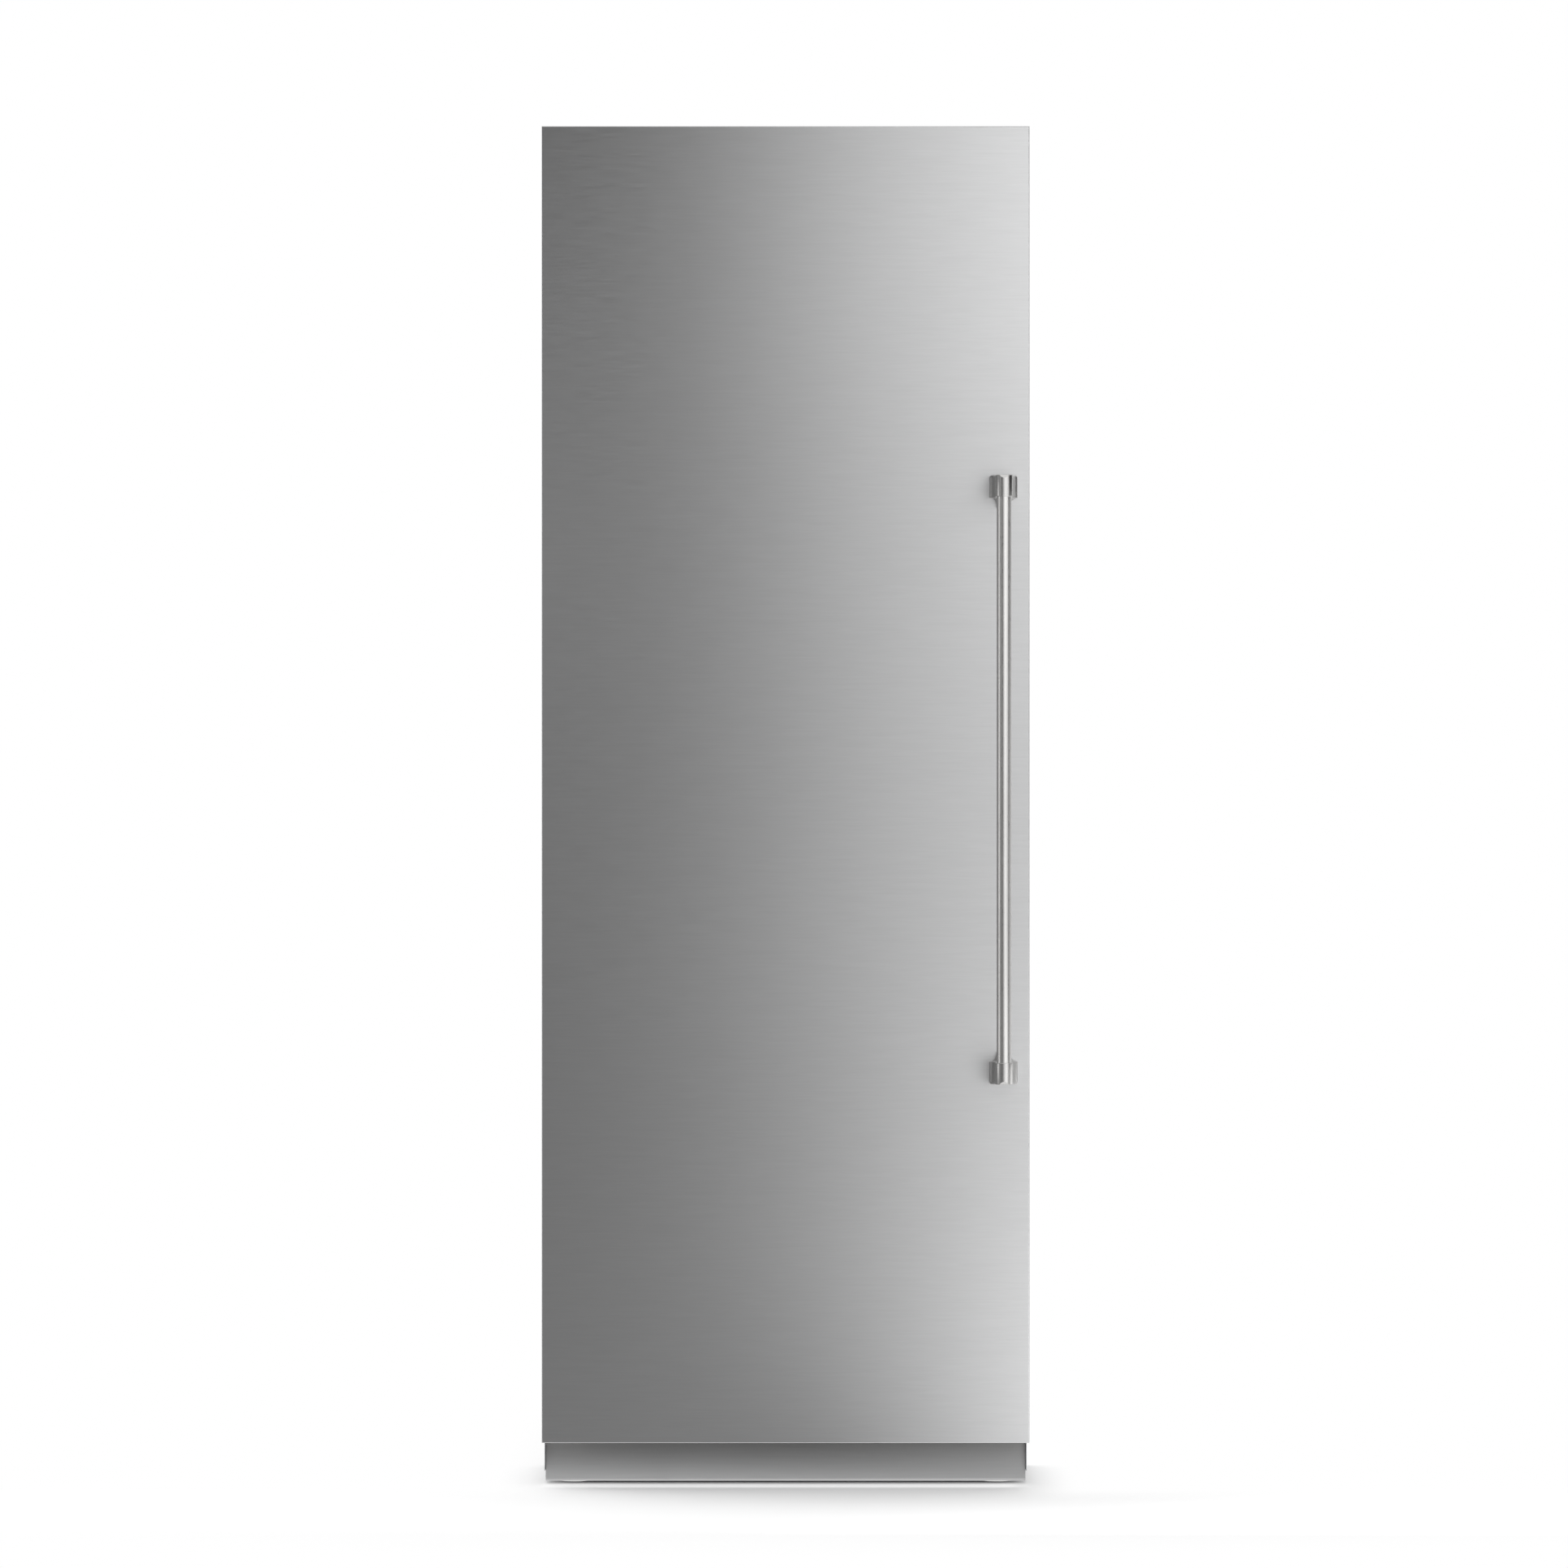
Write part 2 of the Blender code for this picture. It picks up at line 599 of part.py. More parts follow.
# Objects
def material_for(name, finish):
    colour, roughness, metallic = FINISHES[finish]
    material = bpy.data.materials.new(name)
    material.use_nodes = True
    shader = material.node_tree.nodes["Principled BSDF"]
    shader.inputs["Base Color"].default_value = colour
    shader.inputs["Roughness"].default_value = roughness
    shader.inputs["Metallic"].default_value = metallic
    return material


def object_from(bm, name):
    bmesh.ops.recalc_face_normals(bm, faces=bm.faces)
    mesh = bpy.data.meshes.new(name)
    bm.to_mesh(mesh)
    bm.free()
    made = bpy.data.objects.new(name, mesh)
    bpy.context.scene.collection.objects.link(made)
    return made


def piece(name, bm, finish, smooth=False):
    made = object_from(bm, name)
    made.data.materials.append(material_for(name, finish))
    if smooth:
        smooth_shade(made)
    return made


def smooth_shade(made):
    made.data.shade_smooth()
    made.data.set_sharp_from_angle(angle=SMOOTH_ANGLE)


def combine(made, bm, operation):
    """Join a shape to a piece, or cut it away, and keep the piece as one mesh."""
    tool = object_from(bm, "tool")
    modifier = made.modifiers.new(operation, "BOOLEAN")
    modifier.operation = operation
    modifier.object = tool
    bpy.context.view_layer.update()
    evaluated = made.evaluated_get(bpy.context.evaluated_depsgraph_get())
    result = bpy.data.meshes.new_from_object(evaluated)
    made.modifiers.clear()
    before = made.data
    made.data = result
    result.name = made.name
    bpy.data.meshes.remove(before)
    bpy.data.objects.remove(tool)
    clean = bmesh.new()
    clean.from_mesh(result)
    bmesh.ops.remove_doubles(clean, verts=clean.verts, dist=MERGE_DISTANCE)
    clean.to_mesh(result)
    clean.free()


def fuse_box(made, *spans):
    bm = bmesh.new()
    add_box(bm, *spans)
    combine(made, bm, "UNION")


def fuse_turned(made, plane, centre, profile, sides):
    bm = bmesh.new()
    add_turned(bm, plane, centre, profile, sides)
    combine(made, bm, "UNION")


def fuse_prism(made, plane, outer, start, stop):
    bm = bmesh.new()
    add_prism(bm, plane, outer, start, stop)
    combine(made, bm, "UNION")


def drill(made, plane, centre, radius, start, stop, sides=SMALL_SIDES):
    bm = bmesh.new()
    add_turned(bm, plane, centre, [(radius, start), (radius, stop)], sides)
    combine(made, bm, "DIFFERENCE")


def cut_boxes(made, boxes):
    """Cut away boxes that don't touch each other, each given as its three spans."""
    bm = bmesh.new()
    for spans in boxes:
        add_box(bm, *spans)
    combine(made, bm, "DIFFERENCE")


def spread(centre, half):
    return centre - half, centre + half


def slot_grid(box, rows, columns, bar):
    """Slots of equal size that fill a box, with bars of the given width between them."""
    low_u, high_u, low_v, high_v = box
    width = (high_u - low_u - bar * (columns - 1)) / columns
    height = (high_v - low_v - bar * (rows - 1)) / rows
    slots = []
    for row in range(rows):
        for column in range(columns):
            left = low_u + column * (width + bar)
            bottom = low_v + row * (height + bar)
            slots.append((left, left + width, bottom, bottom + height))
    return slots


# Door leaf
def door_panel():
    bm = bmesh.new()
    add_pan(bm, front_plane, PANEL_BOX, PANEL_FRONT, PANEL_BACK, PANEL_SHEET, PANEL_BEND)
    made = piece("door_panel", bm, "brushed_steel")
    for level in stud_levels():
        drill(made, front_plane, (BAR_X, level), STUD_RADIUS + FIT,
              PANEL_FRONT - OVERRUN, PANEL_FRONT + PANEL_SHEET + OVERRUN)


def panel_board():
    """The board that stiffens the folded panel and takes the handle's studs."""
    bm = bmesh.new()
    box = grown(PANEL_BOX, -PANEL_SHEET - FIT)
    add_prism(bm, front_plane, corners(box), PANEL_FRONT + PANEL_SHEET + FIT, PANEL_BACK - FIT)
    made = piece("panel_board", bm, "fibre_board")
    for level in stud_levels():
        drill(made, front_plane, (BAR_X, level), STUD_RADIUS + FIT,
              PANEL_FRONT - OVERRUN, PANEL_BACK + OVERRUN)


def door_shell():
    bm = bmesh.new()
    add_pan(bm, front_plane, DOOR_BOX, SHELL_FRONT, SHELL_BACK, DOOR_SHEET, DOOR_SHEET)
    made = piece("door_shell", bm, "grey_paint")
    bore_for_bushings(made)


def dyke_rings(depth):
    """Rings over the raised ring of the door liner. Depth is how far under its face they lie."""
    base = LINER_FACE - depth
    crest = base + DYKE_HEIGHT
    steps = ((depth, base), (depth + DYKE_DRAFT, crest),
             (DYKE_WIDTH - depth - DYKE_DRAFT, crest), (DYKE_WIDTH - depth, base))
    return [(rounded(grown(DYKE_BOX, -inset), DYKE_CORNER), level) for inset, level in steps]


def door_foam():
    box = grown(DOOR_BOX, -DOOR_SHEET - FIT)
    rings = [(rounded(box, EDGE_ROUND), SHELL_FRONT + DOOR_SHEET + FIT),
             (rounded(box, EDGE_ROUND), SHELL_BACK)]
    rings += dyke_rings(DOOR_LINER_SHEET + FIT)
    bm = bmesh.new()
    add_loft(bm, front_plane, rings)
    made = piece("door_foam", bm, "yellow_foam")
    bore_for_bushings(made)


def bore_for_bushings(made):
    for edge, inward in ((DOOR_TOP, -1), (DOOR_BOTTOM, 1)):
        drill(made, top_plane, (PIVOT_X, PIVOT_Y), BUSHING_RADIUS + FIT,
              edge - inward * OVERRUN, edge + inward * (BUSHING_LENGTH + FIT), FINE_SIDES)


def door_liner():
    rings = list(reversed(dyke_rings(DOOR_LINER_SHEET)))
    rings.append((rounded(DOOR_BOX, EDGE_ROUND), LINER_FRONT))
    rings.append((rounded(DOOR_BOX, EDGE_ROUND), LINER_FACE))
    rings += dyke_rings(0)
    bm = bmesh.new()
    add_loft(bm, front_plane, rings)
    made = piece("door_liner", bm, "white_plastic")
    for bottom, height in bin_places():
        for side in (-1, 1):
            top = bottom + height - LUG_DROP
            root = DYKE_INSIDE + EMBED
            tip = DYKE_INSIDE - LUG_REACH
            fuse_box(made, sorted((side * root, side * tip)), lug_span(), (top - LUG_HEIGHT, top))


def lug_span():
    start = BIN_BACK + LUG_SETBACK
    return start, start + LUG_WIDTH


def bin_places():
    """The bottom and the height of each container that hangs on the door."""
    places = [(level, BIN_HEIGHT) for level in BIN_LEVELS.values()]
    return places + [(DAIRY_LEVEL, DAIRY_HEIGHT)]


def door_gasket():
    outer = grown(CAVITY_BOX, GASKET_MARGIN + GASKET_WIDTH)
    rings = []
    for inset_share, level_share in GASKET_PROFILE_SHARES:
        box = grown(outer, -inset_share * GASKET_WIDTH)
        level = GASKET_FRONT + level_share * (GASKET_DEPTH - FIT)
        rings.append((rounded(box, DYKE_CORNER), level))
    bm = bmesh.new()
    add_loft(bm, front_plane, rings, closed=True)
    piece("door_gasket", bm, "grey_rubber")


# Hinge
def hinge_bushing(name, edge, inward):
    """A flanged sleeve in the leaf's end. Inward is the way from its flange into the leaf."""
    seat = edge - inward * FIT
    flange = seat - inward * BUSHING_FLANGE
    tip = edge + inward * BUSHING_LENGTH
    bore = PIN_RADIUS + FIT
    profile = [(bore, tip), (BUSHING_RADIUS, tip), (BUSHING_RADIUS, seat),
               (BUSHING_FLANGE_RADIUS, seat), (BUSHING_FLANGE_RADIUS, flange), (bore, flange)]
    bm = bmesh.new()
    add_turned(bm, top_plane, (PIVOT_X, PIVOT_Y), profile, FINE_SIDES, closed=True)
    piece(name, bm, "black_plastic", smooth=True)


def hinge_plate(name, bottom, thickness, back, pin_tip):
    """A plate with a round nose over the pivot, a neck that reaches the cabinet, and a fixed pin."""
    start = 180 - math.degrees(math.acos(HINGE_NECK_LEFT / HINGE_NOSE_RADIUS))
    outline = arc(PIVOT_X, PIVOT_Y, HINGE_NOSE_RADIUS, start, 360, HINGE_NOSE_STEPS)
    outline += [(PIVOT_X + HINGE_NECK_RIGHT, CASE_FRONT), (PIVOT_X + HINGE_NECK_RIGHT, back),
                (PIVOT_X - HINGE_NECK_LEFT, back)]
    bm = bmesh.new()
    add_prism(bm, top_plane, outline, bottom, bottom + thickness)
    made = piece(name, bm, "zinc_steel")
    root = bottom + thickness / 2
    pin = [(PIN_RADIUS, root), (PIN_RADIUS, pin_tip)]
    fuse_turned(made, top_plane, (PIVOT_X, PIVOT_Y), pin, FINE_SIDES)


# Handle
def stud_levels():
    middle = (FERRULE_LENGTH + MOUNT_LEAD) / 2
    return HANDLE_TOP - middle, HANDLE_BOTTOM + middle


def handle_bar():
    start = HANDLE_BOTTOM + FERRULE_LENGTH - BAR_ENGAGEMENT + FIT
    stop = HANDLE_TOP - FERRULE_LENGTH + BAR_ENGAGEMENT - FIT
    bm = bmesh.new()
    add_turned(bm, top_plane, (BAR_X, BAR_Y), [(BAR_RADIUS, start), (BAR_RADIUS, stop)], FINE_SIDES)
    piece("handle_bar", bm, "brushed_steel", smooth=True)


def mount_outline(end, inward, width_share, flare_share):
    """The foot seen from the front: straight sides, then a hollow flare in to the bar."""
    half = width_share * MOUNT_WIDTH / 2
    tip = min(half, MOUNT_TIP_WIDTH / 2)
    lead = -MOUNT_LEAD
    chamfer = MOUNT_CHAMFER * width_share
    right = [(half - chamfer, lead), (half, lead + chamfer)]
    for step in range(FLARE_STEPS + 1):
        angle = math.radians(90 * step / FLARE_STEPS)
        down = MOUNT_STRAIGHT + flare_share * MOUNT_FLARE * (1 - math.cos(angle))
        right.append((half - (half - tip) * math.sin(angle), down))
    left = [(-across, down) for across, down in reversed(right)]
    return [(BAR_X + across, end + inward * down) for across, down in right + left]


def handle_mount(name, end, inward):
    """A cast end mount: a foot on the panel, a neck that narrows, and a ferrule over the bar's end."""
    rings = []
    for reach_share, width_share, flare_share in MOUNT_SECTION_SHARES:
        level = PANEL_FRONT - FIT - reach_share * HANDLE_STANDOFF
        rings.append((mount_outline(end, inward, width_share, flare_share), level))
    bm = bmesh.new()
    add_loft(bm, front_plane, rings)
    made = piece(name, bm, "polished_steel")
    profile = [(FERRULE_RADIUS - FERRULE_BEVEL, end), (FERRULE_RADIUS, end + inward * FERRULE_BEVEL),
               (FERRULE_RADIUS, end + inward * FERRULE_LENGTH)]
    fuse_turned(made, top_plane, (BAR_X, BAR_Y), profile, FINE_SIDES)
    cut_facet(made, end, inward)
    stud_level = end + inward * (FERRULE_LENGTH + MOUNT_LEAD) / 2
    stud = [(STUD_RADIUS, PANEL_FRONT - FIT - EMBED), (STUD_RADIUS, PANEL_FRONT + STUD_REACH)]
    fuse_turned(made, front_plane, (BAR_X, stud_level), stud, SMALL_SIDES)
    bore_start = end + inward * (FERRULE_LENGTH - BAR_ENGAGEMENT)
    bore_stop = end + inward * (FERRULE_LENGTH + OVERRUN)
    drill(made, top_plane, (BAR_X, BAR_Y), BAR_RADIUS + FIT, bore_start, bore_stop, FINE_SIDES)
    smooth_shade(made)


def cut_facet(made, end, inward):
    """Cut the slanting flat across the front of a ferrule's outer end."""
    front = BAR_Y - FERRULE_RADIUS
    extra_depth = FACET_OVERCUT_SHARE * FACET_DEPTH
    extra_height = FACET_OVERCUT_SHARE * FACET_HEIGHT
    outline = [(front - extra_depth, end + inward * (FACET_HEIGHT + extra_height)),
               (front + FACET_DEPTH + extra_depth, end - inward * extra_height),
               (front - extra_depth, end - inward * extra_height)]
    half = FERRULE_RADIUS + OVERRUN
    bm = bmesh.new()
    add_prism(bm, side_plane, outline, BAR_X - half, BAR_X + half)
    combine(made, bm, "DIFFERENCE")


# Door bins and dairy box
def door_container(name, bottom, height, depth, finish):
    """A tub that hangs by its ends on two lugs of the door liner."""
    half = DYKE_INSIDE - FIT
    tub_half = half - BIN_END + EMBED
    bm = bmesh.new()
    add_tub(bm, (-tub_half, tub_half, BIN_BACK, BIN_BACK + depth), bottom, bottom + height,
            BIN_WALL, BIN_DRAFT, BIN_CORNER)
    made = piece(name, bm, finish)
    end_back = BIN_BACK + min(BIN_END_DEPTH, depth - BIN_CORNER)
    lug_top = bottom + height - LUG_DROP
    for side in (-1, 1):
        fuse_box(made, sorted((side * half, side * (half - BIN_END))), (BIN_BACK + BIN_CORNER, end_back),
                 (bottom + height * BIN_END_LIFT_SHARE, bottom + height))
    lug_front, lug_back = lug_span()
    notches = []
    for side in (-1, 1):
        notches.append((sorted((side * (half + OVERRUN), side * (DYKE_INSIDE - LUG_REACH - LUG_CLEARANCE))),
                        (lug_front - LUG_CLEARANCE, lug_back + LUG_CLEARANCE),
                        (bottom - OVERRUN, lug_top + FIT)))
    cut_boxes(made, notches)
    return made


def dairy_box():
    made = door_container("dairy_box", DAIRY_LEVEL, DAIRY_HEIGHT, DAIRY_DEPTH, "clear_plastic")
    half = DYKE_INSIDE - FIT
    rim = DAIRY_LEVEL + DAIRY_HEIGHT
    for side in (-1, 1):
        fuse_box(made, sorted((side * half, side * (half - EAR_SHEET))),
                 (BIN_BACK, BIN_BACK + EAR_DEPTH + BIN_CORNER),
                 (rim - LUG_DROP + FIT + LID_GAP, LID_AXIS_Z + LID_KNUCKLE_RADIUS + LID_GAP))
    drill(made, side_plane, (LID_AXIS_Y, LID_AXIS_Z), LID_PIN_RADIUS + FIT, -half - OVERRUN, half + OVERRUN)


def dairy_lid():
    """A cover over the dairy box, with a flap down its front. It turns up about pins in the box's ears."""
    half = DYKE_INSIDE - FIT - EAR_SHEET - EAR_GAP
    top = LID_AXIS_Z + LID_KNUCKLE_RADIUS
    flap_back = BIN_BACK + DAIRY_DEPTH + LID_GAP
    outline = arc(LID_AXIS_Y, LID_AXIS_Z, LID_KNUCKLE_RADIUS, 90, 300, CORNER_STEPS * 3)
    outline += [(LID_AXIS_Y + LID_KNUCKLE_RADIUS, top - LID_SHEET), (flap_back, top - LID_SHEET),
                (flap_back, top - LID_FLAP), (flap_back + LID_SHEET, top - LID_FLAP),
                (flap_back + LID_SHEET, top - EDGE_ROUND), (flap_back + LID_SHEET - EDGE_ROUND, top)]
    bm = bmesh.new()
    add_prism(bm, side_plane, outline, -half, half)
    made = piece("dairy_lid", bm, "clear_plastic")
    for side in (-1, 1):
        pin = [(LID_PIN_RADIUS, side * (half - EMBED)), (LID_PIN_RADIUS, side * (half + LID_PIN_REACH))]
        fuse_turned(made, side_plane, (LID_AXIS_Y, LID_AXIS_Z), pin, SMALL_SIDES)


# Cabinet box
def outer_case():
    """The wrapper: a box section with a deck, and skirts beside the machine compartment."""
    inner = HALF_CASE - CASE_SHEET
    outline = [(-HALF_CASE, SKIRT_BOTTOM), (-inner, SKIRT_BOTTOM), (-inner, DECK_HEIGHT),
               (inner, DECK_HEIGHT), (inner, SKIRT_BOTTOM), (HALF_CASE, SKIRT_BOTTOM),
               (HALF_CASE, CASE_TOP), (-HALF_CASE, CASE_TOP)]
    hole = corners((-inner, inner, DECK_HEIGHT + CASE_SHEET, CASE_TOP - CASE_SHEET))
    bm = bmesh.new()
    add_prism(bm, front_plane, outline, BOX_FRONT, BOX_BACK, [hole])
    piece("outer_case", bm, "grey_paint")


def rear_panel():
    bm = bmesh.new()
    box = (-HALF_CASE, HALF_CASE, DECK_HEIGHT + FIT, CASE_TOP)
    add_prism(bm, front_plane, corners(box), CASE_BACK - REAR_SHEET, CASE_BACK)
    piece("rear_panel", bm, "zinc_steel")


def cabinet_foam():
    outer = (-HALF_CASE + CASE_SHEET + FIT, HALF_CASE - CASE_SHEET - FIT,
             DECK_HEIGHT + CASE_SHEET + FIT, CASE_TOP - CASE_SHEET - FIT)
    inner = rounded(grown(CAVITY_BOX, LINER_SHEET + FIT), LINER_CORNER + LINER_SHEET)
    rings = [(rounded(outer, EDGE_ROUND), BOX_BACK), (rounded(outer, EDGE_ROUND), BOX_FRONT),
             (inner, BOX_FRONT), (inner, CAVITY_BACK + LINER_SHEET + FIT)]
    bm = bmesh.new()
    add_loft(bm, front_plane, rings)
    piece("cabinet_foam", bm, "yellow_foam")


def inner_liner():
    outer = rounded(grown(CAVITY_BOX, LINER_SHEET), LINER_CORNER + LINER_SHEET)
    inner = rounded(CAVITY_BOX, LINER_CORNER)
    rings = [(outer, CAVITY_BACK + LINER_SHEET), (outer, BOX_FRONT),
             (inner, BOX_FRONT), (inner, CAVITY_BACK)]
    bm = bmesh.new()
    add_loft(bm, front_plane, rings)
    piece("inner_liner", bm, "white_plastic")


def front_frame():
    """The steel face that the door's gasket closes on."""
    outer = rounded((-HALF_CASE, HALF_CASE, FRAME_BOTTOM, CASE_TOP), EDGE_ROUND)
    inner = rounded(CAVITY_BOX, LINER_CORNER)
    back = CASE_FRONT + FRAME_SHEET
    rings = [(outer, back), (outer, CASE_FRONT), (inner, CASE_FRONT), (inner, back)]
    bm = bmesh.new()
    add_loft(bm, front_plane, rings, closed=True)
    piece("front_frame", bm, "grey_paint")


# Base
def base_frame():
    """A pressed tray with four posts under the deck, leg bosses, roller cheeks and the hinge's seat."""
    back = BOX_BACK
    bm = bmesh.new()
    box = (-TRAY_HALF, TRAY_HALF, TRAY_FRONT, back)
    add_loft(bm, top_plane, [(corners(box), TRAY_BOTTOM), (corners(box), TRAY_RIM),
                             (corners(grown(box, -TRAY_SHEET)), TRAY_RIM),
                             (corners(grown(box, -TRAY_SHEET)), TRAY_FLOOR)])
    made = piece("base_frame", bm, "black_paint")
    roller_slots = []
    half_slot = ROLLER_RADIUS + ROLLER_SLOT_MARGIN
    half_gap = ROLLER_WIDTH / 2 + ROLLER_CLEARANCE
    for side in (-1, 1):
        roller_slots.append((spread(side * ROLLER_X, half_gap), spread(ROLLER_Y, half_slot),
                             (TRAY_BOTTOM - OVERRUN, TRAY_FLOOR + OVERRUN)))
    cut_boxes(made, roller_slots)
    for side in (-1, 1):
        for start in (CASE_FRONT + FRONT_POST_SETBACK + POST_WIDTH, back - TRAY_SHEET - POST_WIDTH - FIT):
            fuse_prism(made, top_plane, post_outline(side, start), TRAY_FLOOR - EMBED, DECK_HEIGHT - FIT)
        boss = [(BOSS_RADIUS, TRAY_FLOOR - EMBED), (BOSS_RADIUS, TRAY_FLOOR + BOSS_HEIGHT)]
        fuse_turned(made, top_plane, (side * LEG_X, LEG_Y), boss, ROUND_SIDES)
        drill(made, top_plane, (side * LEG_X, LEG_Y), LEG_STEM_RADIUS + FIT,
              TRAY_BOTTOM - OVERRUN, TRAY_FLOOR + BOSS_HEIGHT + OVERRUN, ROUND_SIDES)
        for cheek in (-1, 1):
            inner = side * ROLLER_X + cheek * half_gap
            fuse_box(made, sorted((inner, inner + cheek * CHEEK_SHEET)), spread(ROLLER_Y, CHEEK_LENGTH / 2),
                     spread(ROLLER_RADIUS, CHEEK_HEIGHT / 2))
        reach = half_gap + CHEEK_SHEET + OVERRUN
        drill(made, side_plane, (ROLLER_Y, ROLLER_RADIUS), AXLE_RADIUS + FIT, side * ROLLER_X - reach,
              side * ROLLER_X + reach, ROUND_SIDES)
    seat_left = -TRAY_HALF + EMBED
    fuse_box(made, (seat_left, seat_left + SEAT_WIDTH), (TRAY_FRONT + EMBED, TRAY_FRONT + SEAT_DEPTH),
             (TRAY_FLOOR - EMBED, LOWER_PLATE_BOTTOM - FIT))


def post_outline(side, start):
    """An angle section in a corner of the tray, its flat sides outwards."""
    outer = TRAY_HALF - EMBED
    inner = outer - POST_WIDTH
    stop = start + POST_WIDTH
    points = [(inner, stop - POST_SHEET), (outer - POST_SHEET, stop - POST_SHEET),
              (outer - POST_SHEET, start), (outer, start), (outer, stop), (inner, stop)]
    return [(side * across, back) for across, back in points]


def kickplate():
    front = CASE_FRONT + KICK_SETBACK
    back = TRAY_FRONT - FIT
    inner = front + KICK_SHEET
    outline = arc(front + KICK_BEND, KICK_BOTTOM + KICK_BEND, KICK_BEND, 270, 180, BEND_STEPS)
    outline += arc(front + KICK_BEND, TRAY_RIM - KICK_BEND, KICK_BEND, 180, 90, BEND_STEPS)
    outline += [(back, TRAY_RIM), (back, TRAY_RIM - KICK_SHEET)]
    bend = KICK_BEND - KICK_SHEET
    outline += arc(inner + bend, TRAY_RIM - KICK_BEND, bend, 90, 180, BEND_STEPS)
    outline += arc(inner + bend, KICK_BOTTOM + KICK_BEND, bend, 180, 270, BEND_STEPS)
    outline += [(front + KICK_HEM, KICK_BOTTOM + KICK_SHEET), (front + KICK_HEM, KICK_BOTTOM)]
    bm = bmesh.new()
    add_prism(bm, side_plane, outline, -TRAY_HALF, TRAY_HALF)
    piece("kickplate", bm, "brushed_steel")


def machine_grille():
    """The slotted plate behind the door's foot that lets air into the machine compartment."""
    box = (-HALF_CASE, HALF_CASE, GRILLE_BOTTOM, FRAME_BOTTOM - FIT)
    slots = slot_grid(grown(box, -GRILLE_MARGIN), GRILLE_ROWS, GRILLE_COLUMNS, GRILLE_BAR)
    holes = [corners(slot) for slot in slots]
    bm = bmesh.new()
    add_prism(bm, front_plane, corners(box), CASE_FRONT, CASE_FRONT + FRAME_SHEET, holes)
    piece("machine_grille", bm, "black_paint")


def inlet_box(extra):
    """The inlet's outline on the rear cover, grown by extra."""
    across = spread(HALF_CASE - INLET_INSET, INLET_WIDTH / 2)
    upward = spread(INLET_LEVEL, INLET_HEIGHT / 2)
    return grown((*across, *upward), extra)


def rear_access_cover():
    """The vented cover over the back of the machine compartment, with the window of the power inlet."""
    box = (-HALF_CASE, HALF_CASE, ACCESS_BOTTOM, DECK_HEIGHT)
    vents = (-HALF_CASE + GRILLE_MARGIN, -HALF_CASE + GRILLE_MARGIN + ACCESS_VENT_WIDTH,
             TRAY_RIM + GRILLE_MARGIN, DECK_HEIGHT - GRILLE_MARGIN)
    holes = [corners(slot) for slot in slot_grid(vents, ACCESS_ROWS, ACCESS_COLUMNS, ACCESS_BAR)]
    holes.append(corners(inlet_box(FIT)))
    bm = bmesh.new()
    add_prism(bm, front_plane, corners(box), CASE_BACK - REAR_SHEET, CASE_BACK, holes)
    piece("rear_access_cover", bm, "zinc_steel")


def power_inlet():
    """A recessed socket in the rear cover, with three contact blades and a flange inside the cover."""
    back = CASE_BACK - FIT
    flange_back = CASE_BACK - REAR_SHEET - FIT
    flange_front = flange_back - INLET_FLANGE_SHEET
    body = corners(inlet_box(0))
    flange = corners(inlet_box(INLET_FLANGE))
    mouth = corners(inlet_box(-INLET_WALL))
    rings = [(body, back - INLET_DEPTH), (body, flange_front), (flange, flange_front), (flange, flange_back),
             (body, flange_back), (body, back), (mouth, back), (mouth, back - INLET_SOCKET_DEPTH)]
    bm = bmesh.new()
    add_loft(bm, front_plane, rings)
    made = piece("power_inlet", bm, "black_plastic")
    centre_x = HALF_CASE - INLET_INSET
    root = back - INLET_SOCKET_DEPTH - EMBED
    for step in (-1, 0, 1):
        fuse_box(made, spread(centre_x + step * INLET_BLADE_SPREAD, INLET_BLADE_SHEET / 2),
                 (root, root + INLET_BLADE_LENGTH), spread(INLET_LEVEL, INLET_BLADE_WIDTH / 2))


def levelling_leg(name, side):
    """A threaded stem with a wide foot. It screws up and down in its boss."""
    profile = [(LEG_FOOT_RADIUS - LEG_FOOT_BEVEL, 0), (LEG_FOOT_RADIUS, LEG_FOOT_BEVEL),
               (LEG_FOOT_RADIUS, LEG_FOOT_HEIGHT - LEG_FOOT_BEVEL),
               (LEG_FOOT_RADIUS - LEG_FOOT_BEVEL, LEG_FOOT_HEIGHT), (LEG_COLLAR_RADIUS, LEG_FOOT_HEIGHT),
               (LEG_COLLAR_RADIUS, LEG_FOOT_HEIGHT + LEG_COLLAR_HEIGHT),
               (LEG_STEM_RADIUS, LEG_FOOT_HEIGHT + LEG_COLLAR_HEIGHT), (LEG_STEM_RADIUS, LEG_STEM_LENGTH)]
    bm = bmesh.new()
    add_turned(bm, top_plane, (side * LEG_X, LEG_Y), profile, ROUND_SIDES)
    piece(name, bm, "zinc_steel", smooth=True)


def rear_roller(name, side):
    half = ROLLER_WIDTH / 2
    reach = half + ROLLER_CLEARANCE + CHEEK_SHEET
    rim = ROLLER_RADIUS - ROLLER_BEVEL
    offsets = [(AXLE_RADIUS, -reach), (AXLE_RADIUS, -half), (rim, -half),
               (ROLLER_RADIUS, -half + ROLLER_BEVEL), (ROLLER_RADIUS, half - ROLLER_BEVEL),
               (rim, half), (AXLE_RADIUS, half), (AXLE_RADIUS, reach)]
    profile = [(radius, side * ROLLER_X + offset) for radius, offset in offsets]
    bm = bmesh.new()
    add_turned(bm, side_plane, (ROLLER_Y, ROLLER_RADIUS), profile, FINE_SIDES)
    piece(name, bm, "black_plastic", smooth=True)


